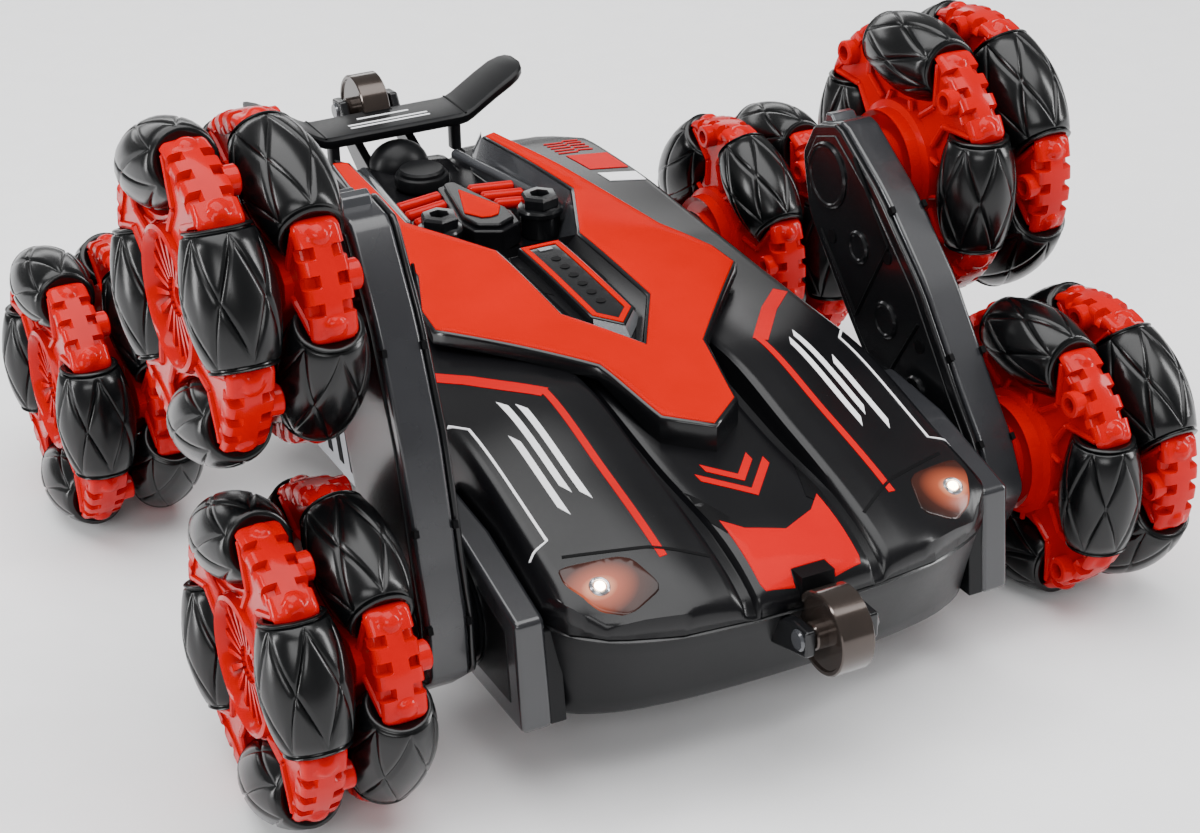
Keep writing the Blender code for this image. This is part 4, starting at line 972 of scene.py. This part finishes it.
def make_prints():
    bm = bmesh.new()
    add_decal(bm, band([(31.2, -113.0), (30.9, -80.0), (30.7, -50.8)], 1.9))
    add_decal(bm, band([(30.9, -51.5), (44.0, -34.0), (53.5, -24.0)], 4.0))
    add_decal(bm, ((44.0, 70.0), (55.0, 66.6), (55.0, 80.5), (43.0, 84.0)), lift=0.2)
    for k in range(5):
        y = 86.0 + k * 2.6
        zigzag = [(42.0, y + 1.2), (48.0, y), (48.5, y + 1.4), (53.0, y)]
        add_decal(bm, band(zigzag, 0.8), lift=0.2, spacing=2.0)
    for apex, reach in ((-103.0, 9.5), (-96.5, 6.5)):
        arm = apex + reach * 1.15
        chevron = ((0.0, apex), (reach, arm), (reach, arm + 3.2), (0.0, apex + 3.2))
        slab(bm, mirrored(chevron), drape(0.12), 0.3, soft=0.0, spacing=2.0)
    piece("red_prints", bm, RED_PRINT)

    bracket = [(58.2, -98.4), (52.8, -96.4), (53.0, -54.5), (56.6, -50.0)]
    add_decal(bm, band(bracket, 0.7), lift=0.2, spacing=1.5)
    add_decal(bm, ((45.0, 59.0), (55.2, 55.6), (55.2, 62.4), (44.5, 66.0)), lift=0.2)
    for k, (start, end) in enumerate(((-90.0, -52.0), (-86.0, -48.0), (-92.0, -62.0))):
        x = 37.5 + k * 3.4
        add_decal(bm, ((x, start), (x + 1.7, start + 3.5), (x + 1.7, end), (x, end - 3.5)), spacing=2.0)
    piece("white_prints", bm, WHITE_PRINT)

    slab(bm, mirrored(NOSE_PANEL), drape(0.25), 0.8, soft=0.2, spacing=3.0)
    piece("nose_panel", bm, NOSE_RED, slot="plate_red")

    # Painted shade: thin dark sheets for the triangular recesses beside the nose panel and a dark box for the
    # notch above the nose roller; the thin line is a dark seam.
    for side in (-1.0, 1.0):
        spike = [(15.4, -93.0), (15.2, -107.0), (13.6, -112.0), (10.5, -107.5)]
        if side < 0.0:
            spike = flipped(spike)
        slab(bm, spike, drape(0.15), 0.4, soft=0.0, spacing=2.0)
    add_decal(bm, band([(21.0, -116.5), (33.0, -109.4), (52.0, -102.5)], 0.8), spacing=2.0)
    box(bm, (-4.4, -130.2, 47.6), (4.4, -124.8, 55.7))
    piece("nose_recess_shade_and_seam", bm, SHADE_AND_SEAM_BLACK)


LAMP_OUTLINE = ((-11.0, -6.8), (-7.5, 4.6), (8.6, 8.6), (9.2, 3.5), (5.0, -4.2), (-2.0, -8.2))
LAMP_CENTRE = (46.0, -113.5)
LAMP_GLOW = (48.2, -114.0)


def make_lamps():
    for word, side in SIDES:
        outline = [(LAMP_CENTRE[0] + a, LAMP_CENTRE[1] + b) for a, b in LAMP_OUTLINE]
        x, y = LAMP_GLOW
        if side < 0.0:
            outline, x = flipped(outline), -x
        z = shell_top(x, y)
        bm = bmesh.new()
        slab(bm, rounded(list(outline), 0.15, 2), drape(0.35), 2.0, soft=0.4, spacing=1.6)
        lens = lens_finish(f"lens_{word}", (x * MM, y * MM, z * MM))
        piece(f"lamp_lens_{word}", bm, lens, [f"headlight_{word}"], slot="lens")
        tilt = about_x(24.0)
        seat = upright(x, y, z + 0.3) @ tilt
        lathe(bm, ((1.35, 0.3), (1.2, 0.65), (0.8, 0.95), (0.0, 1.1)), 20, seat)
        piece(f"lamp_diode_{word}", bm, GLOW)
        lathe(bm, ((1.5, 0.0), (1.7, 0.6), (2.1, 0.75), (2.5, 0.4), (2.6, 0.0)), 28, seat)
        piece(f"lamp_ring_{word}", bm, SILVER)


# -------- hood plate and engine bay

PLATE_OUTLINE = (
    (0.0, -83.0), (11.0, -74.4), (15.6, -50.4), (44.9, -15.5), (44.0, -4.5), (37.3, 13.0),
    (31.8, 65.0), (27.0, 101.0), (21.5, 98.0), (25.2, 45.4), (11.8, 15.1), (12.1, -24.9),
    (0.0, -45.2),
)
PLATE_CREST = (
    (-83.0, 72.5), (-74.0, 73.8), (-50.0, 78.6), (-25.0, 81.6), (15.0, 84.0), (60.0, 84.3),
    (101.0, 83.0),
)
PLATE_CROWN = 0.0012


def plate_top(x, y):
    return eased(PLATE_CREST, y) - PLATE_CROWN * x * x


def make_plate():
    outline = mirrored(PLATE_OUTLINE)
    bm = bmesh.new()
    depths = ((-74.0, 7.6), (-50.0, 4.2), (0.0, 3.6), (101.0, 3.4))
    slab(bm, outline, lambda x, y: plate_top(x, y) - 0.35, lambda x, y: plate_top(x, y) - straight(depths, y),
         soft=0.7, spacing=4.0)
    piece("plate_frame", bm, BLACK, ["hood_plate"], sharp=40.0, slot="plate_red")
    slab(bm, inset(outline, 0.95), plate_top, 0.9, soft=0.35, spacing=3.5)
    piece("plate_panel", bm, PLATE_RED, sharp=40.0, slot="plate_red")


VENT_FLOOR_DROP = 3.6
VENT_DECK_DROP = 1.0
CHANNEL = ((0.0, -44.9), (12.0, -24.9), (11.7, 15.4), (0.0, 15.4))


def vent_floor(x, y):
    return plate_top(x, y) - VENT_FLOOR_DROP


def vent_deck(x, y):
    return plate_top(x, y) - VENT_DECK_DROP


def make_vent():
    bm = bmesh.new()
    slab(bm, mirrored(CHANNEL), vent_floor, 1.4, soft=0.0, spacing=3.0)
    wall_low = mirrored([(0.0, -40.6), (8.6, -25.2), (8.8, 15.2), (0.0, 15.2)])
    loops = [[(x, y, vent_floor(x, y) + 0.05) for x, y in wall_low],
             [(x, y, plate_top(x, y) - 0.9) for x, y in mirrored(CHANNEL)]]
    skin(bm, loops, caps=False)
    piece("vent_channel", bm, SHELL_BLACK, ["hood_vent"], sharp=30.0, slot="gloss_black")

    body = mirrored([(0.0, -35.5), (6.3, -28.5), (6.3, 14.8), (0.0, 14.8)])
    slab(bm, body, vent_deck, vent_floor, soft=0.5, spacing=3.0)
    piece("vent_body", bm, BLACK, sharp=30.0)
    outer, inner = inset(body, 0.7), inset(body, 2.3)
    slab(bm, outer, lambda x, y: vent_deck(x, y) + 0.25, 0.6, holes=[inner], soft=0.15, spacing=3.0)
    piece("vent_frame", bm, PLATE_RED, sharp=30.0)

    # Painted shade: dark discs for the row of holes in the vent deck and dark sheets for the gaps beside it.
    for k in range(6):
        y = -22.0 + k * 5.2
        hole = upright(0.0, y, vent_deck(0.0, y))
        lathe(bm, ((0.0, 0.12), (1.35, 0.12), (1.35, -0.1), (0.0, -0.1)), 20, hole)
    for side in (-1.0, 1.0):
        gap = [(side * 7.6, -10.0), (side * 9.8, -7.0), (side * 9.8, 9.0), (side * 7.6, 6.0)]
        slab(bm, gap, lambda x, y: vent_floor(x, y) + 0.12, 0.1, soft=0.0, spacing=3.0)
    piece("vent_hole_shade", bm, SHADE_AND_SEAM_BLACK)

    front = [(-5.9, -29.2), (0.0, -35.7), (5.9, -29.2)]
    lower = [(-6.6, -31.0), (0.0, -38.6), (6.6, -31.0)]
    loops = [[(x, y, vent_deck(x, y) - 0.3) for x, y in front],
             [(x, y, vent_floor(x, y) + 0.3) for x, y in lower]]
    skin(bm, loops, closed=False, caps=False)
    box(bm, (-1.9, 9.6, vent_deck(0.0, 10.0) - 0.3), (1.9, 11.6, vent_deck(0.0, 10.0) + 0.2))
    piece("vent_chrome", bm, SILVER)


BAY_FLOOR = 71.0
COWL_RADIUS = 15.5
COWL_HEIGHT = 8.4
NOZZLE_X = 15.6
NOZZLE_Y = 46.0
NOZZLE_BASE = (
    (0.0, 0.3), (5.8, 0.3), (5.8, 6.2), (6.5, 6.8), (6.6, 8.0), (6.2, 8.6), (5.0, 9.0), (0.0, 9.0),
)
NOZZLE_NUT = (
    (0.0, 8.8), (5.2, 8.8), (5.6, 9.2), (5.6, 11.6), (5.0, 12.4), (3.0, 12.5), (2.8, 12.1),
    (2.8, 9.4), (0.0, 9.4),
)
TANK_LID = (
    (0.0, 0.4), (7.6, 0.4), (8.15, 1.2), (8.15, 3.6), (7.9, 4.3), (7.0, 4.7), (6.9, 5.6),
    (6.3, 6.3), (0.0, 6.4),
)


def make_bay():
    bm = bmesh.new()
    for side in (-1.0, 1.0):
        high = [(12.0, 15.3), (25.0, 45.4), (23.4, 70.0), (21.5, 98.0), (24.0, 104.0)]
        low = [(9.0, 18.5), (20.6, 45.2), (19.4, 70.0), (18.0, 98.0), (20.0, 106.0)]
        loops = [[(side * x, y, plate_top(x, min(y, 100.0)) - 1.0) for x, y in high],
                 [(side * x, y, BAY_FLOOR + 0.2) for x, y in low]]
        skin(bm, loops, closed=False, caps=False)
    piece("bay_walls", bm, STEEL, sharp=20.0)

    cover = mirrored([(0.0, 37.5), (7.4, 41.5), (8.6, 50.0), (3.2, 76.0), (0.0, 77.0)])
    prism(bm, cover, BAY_FLOOR + 0.4, 78.2)
    prism(bm, inset(cover, 1.7), 78.0, 79.6)
    piece("engine_block", bm, SHELL_BLACK, ["engine_cover"], bevel=0.7, slot="satin_black")
    kite = mirrored([(0.0, 45.2), (2.6, 46.0), (5.6, 51.2), (0.0, 68.0)])
    prism(bm, kite, 79.4, 80.0)
    piece("engine_badge", bm, PLATE_RED, bevel=0.25)

    for word, side in SIDES:
        stand = upright(side * NOZZLE_X, NOZZLE_Y, BAY_FLOOR)
        lathe(bm, NOZZLE_BASE, 36, stand)
        lathe(bm, NOZZLE_NUT, 6, stand, 0.25)
        piece(f"nozzle_body_{word}", bm, BLACK, [f"nozzle_{word}"], slot="gloss_black", sharp=25.0)
        for k in range(3):
            y = 58.0 + 6.6 * k
            reach = straight(((45.0, 8.6), (76.0, 3.2)), y) + 0.4
            rod(bm, (side * reach, y, 77.4), (side * 18.6, y - 1.2, 76.6), 1.7, 12)
        piece(f"exhaust_ribs_{word}", bm, WHEEL_RED)
        rod(bm, (side * 15.0, 104.5, 75.6), (side * 21.2, 56.0, 77.4), 1.5, 14)
        piece(f"bay_bar_{word}", bm, STEEL)

    lathe(bm, TANK_LID, 48, upright(0.0, 95.0, BAY_FLOOR))
    piece("tank_lid", bm, SATIN, ["tank_cap"], slot="gloss_black")
    steps = [polar(1.0, degrees) for degrees in range(0, 90, 9)]
    dome = [(COWL_RADIUS * out, COWL_HEIGHT * up) for out, up in steps] + [(0.0, COWL_HEIGHT)]
    lathe(bm, dome, 40, upright(0.0, 113.0, 71.4) @ Matrix.Diagonal((0.62, 0.5, 1.0, 1.0)))
    piece("rear_cowl", bm, SATIN, sharp=60.0)


# -------- spoiler

WING_TOP = 84.6
WING_Y = (112.0, 130.0)
WING_THICK = 3.4
WING_RISE = (
    (0.0, 0.0), (8.0, 0.0), (16.0, 0.0), (21.5, 0.0), (23.5, 0.35), (25.5, 1.3), (28.5, 3.2),
    (33.5, 6.3), (38.5, 9.1), (41.5, 10.5), (43.2, 11.2), (44.0, 11.5),
)
POST = ((-1.6, 112.8), (1.6, 112.8), (1.6, 117.6), (-1.6, 117.6))


def make_spoiler():
    path = [(x, WING_TOP + rise) for x, rise in WING_RISE]
    whole = flipped(path)[:-1] + path
    bm = bmesh.new()
    loops = []
    for x, z in whole:
        pull = straight(((38.5, 0.0), (41.5, 1.0), (43.2, 2.6), (44.0, 5.0)), abs(x))
        front, back = WING_Y[0] + pull, WING_Y[1] - pull
        low, high = z - WING_THICK, z
        section = [(front, low + 1.0), (front + 0.7, low), (back - 0.7, low), (back, low + 1.0),
                   (back, high - 0.8), (back - 0.6, high - 0.15), (back - 1.4, high), (front + 1.4, high),
                   (front + 0.6, high - 0.15), (front, high - 0.8)]
        loops.append([(x, y, level) for y, level in section])
    skin(bm, loops)
    for side in (-1.0, 1.0):
        post = rounded([(side * 20.0 + x, y) for x, y in POST], 0.2, 2)
        prism(bm, post, 73.2, WING_TOP - 1.5)
    piece("wing", bm, SATIN, ["spoiler"], sharp=40.0, slot="satin_black")
    for side in (-1.0, 1.0):
        box(bm, (side * 23.0 - 0.3, 112.4, WING_TOP - 0.3), (side * 23.0 + 0.3, 129.6, WING_TOP + 0.33))
    box(bm, (-4.6, 127.0, WING_TOP - 3.2), (4.6, 130.1, WING_TOP + 0.06))
    piece("wing_joints", bm, SHADE_AND_SEAM_BLACK)
    for y, reach in ((117.0, 13.0), (119.2, 13.0), (123.4, 8.5)):
        box(bm, (-reach, y, WING_TOP), (reach, y + 0.9, WING_TOP + 0.12))
    piece("wing_print", bm, WHITE_PRINT)


# -------- underside

SCREW = ((0.0, 0.1), (1.1, 0.1), (1.3, 0.5), (2.3, 0.5), (2.6, 0.2), (2.6, -0.5), (0.0, -0.5))
SCREW_PLACES = (
    (-45.0, -95.0), (45.0, -95.0), (-45.0, 85.0), (45.0, 85.0), (0.0, 58.0), (-45.0, 0.0), (45.0, 0.0),
)


def make_underside():
    low, high = [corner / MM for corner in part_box("battery_hatch")]
    bm = bmesh.new()
    box(bm, (low.x, low.y, FLOOR_Z - 0.2), (high.x, high.y, FLOOR_Z + 1.6))
    for k in range(7):
        y = low.y + 12.0 + k * 6.0
        box(bm, (-16.0, y, FLOOR_Z - 0.7), (16.0, y + 2.0, FLOOR_Z + 0.5))
    piece("battery_lid", bm, SATIN, ["battery_hatch"], bevel=0.35, slot="satin_black")
    for x, y in SCREW_PLACES:
        lathe(bm, SCREW, 20, upright(x, y, FLOOR_Z - 0.1) @ about_x(180.0))
    piece("floor_screws", bm, SILVER)
    for node, material in (("battery_pack", BATTERY), ("power_switch", SILVER)):
        mesh = frame["nodes"][node].data
        mesh.materials.clear()
        mesh.materials.append(material)


# -------- stage


def area_light(name, place, target, size, power):
    lamp = bpy.data.lights.new(name, "AREA")
    lamp.shape = "RECTANGLE"
    lamp.size, lamp.size_y = size
    lamp.energy = power
    obj = bpy.data.objects.new(name, lamp)
    obj.location = place
    aim = Vector(target) - Vector(place)
    obj.rotation_euler = aim.to_track_quat("-Z", "Y").to_euler()
    bpy.context.scene.collection.objects.link(obj)


def make_stage():
    bm = bmesh.new()
    bmesh.ops.create_grid(bm, x_segments=8, y_segments=8, size=6000.0)
    mesh = bpy.data.meshes.new("floor")
    bm.to_mesh(mesh)
    bm.free()
    mesh.transform(Matrix.Scale(MM, 4))
    mesh.materials.append(finish("floor_white", (0.86, 0.86, 0.87), 0.55, grain=0.0, patch=0.01))
    floor = bpy.data.objects.new("floor", mesh)
    bpy.context.scene.collection.objects.link(floor)

    world = bpy.data.worlds.new("studio")
    world.use_nodes = True
    sky = world.node_tree.nodes["Background"]
    sky.inputs["Color"].default_value = (1.0, 1.0, 1.0, 1.0)
    sky.inputs["Strength"].default_value = 0.30
    bpy.context.scene.world = world

    middle = (0.0, 0.0, 0.06)
    area_light("roof", (-0.1, -0.05, 1.6), middle, (2.2, 1.5), 56.0)
    area_light("front", (-0.75, -1.35, 0.95), middle, (0.9, 0.5), 9.0)
    area_light("left_strip", (-1.3, 0.1, 0.45), middle, (0.22, 1.0), 15.0)
    area_light("right_strip", (1.2, -0.55, 0.65), middle, (0.22, 1.0), 15.0)
    area_light("back", (0.2, 1.4, 0.5), middle, (1.6, 0.3), 5.0)


def make_camera():
    swing = Matrix.Rotation(math.radians(CAMERA_AZIMUTH), 4, "Z")
    roll = Matrix.Rotation(math.radians(CAMERA_ROLL), 4, "Z")
    data = bpy.data.cameras.new("camera")
    data.lens = CAMERA_LENS
    data.clip_end = 50.0
    camera = bpy.data.objects.new("camera", data)
    camera.matrix_world = upright(*CAMERA_PLACE) @ swing @ about_x(90.0 - CAMERA_ELEVATION) @ roll
    bpy.context.scene.collection.objects.link(camera)
    bpy.context.scene.camera = camera


def main():
    make_camera()
    make_stage()
    make_wheels()
    for word, side in SIDES:
        make_arm(word, side)
    make_tub()
    make_side_plates()
    make_end_roller("nose_roller", NOSE_EAR)
    make_end_roller("tail_roller", TAIL_EAR)
    make_shell()
    make_prints()
    make_lamps()
    make_plate()
    make_vent()
    make_bay()
    make_spoiler()
    make_underside()


main()
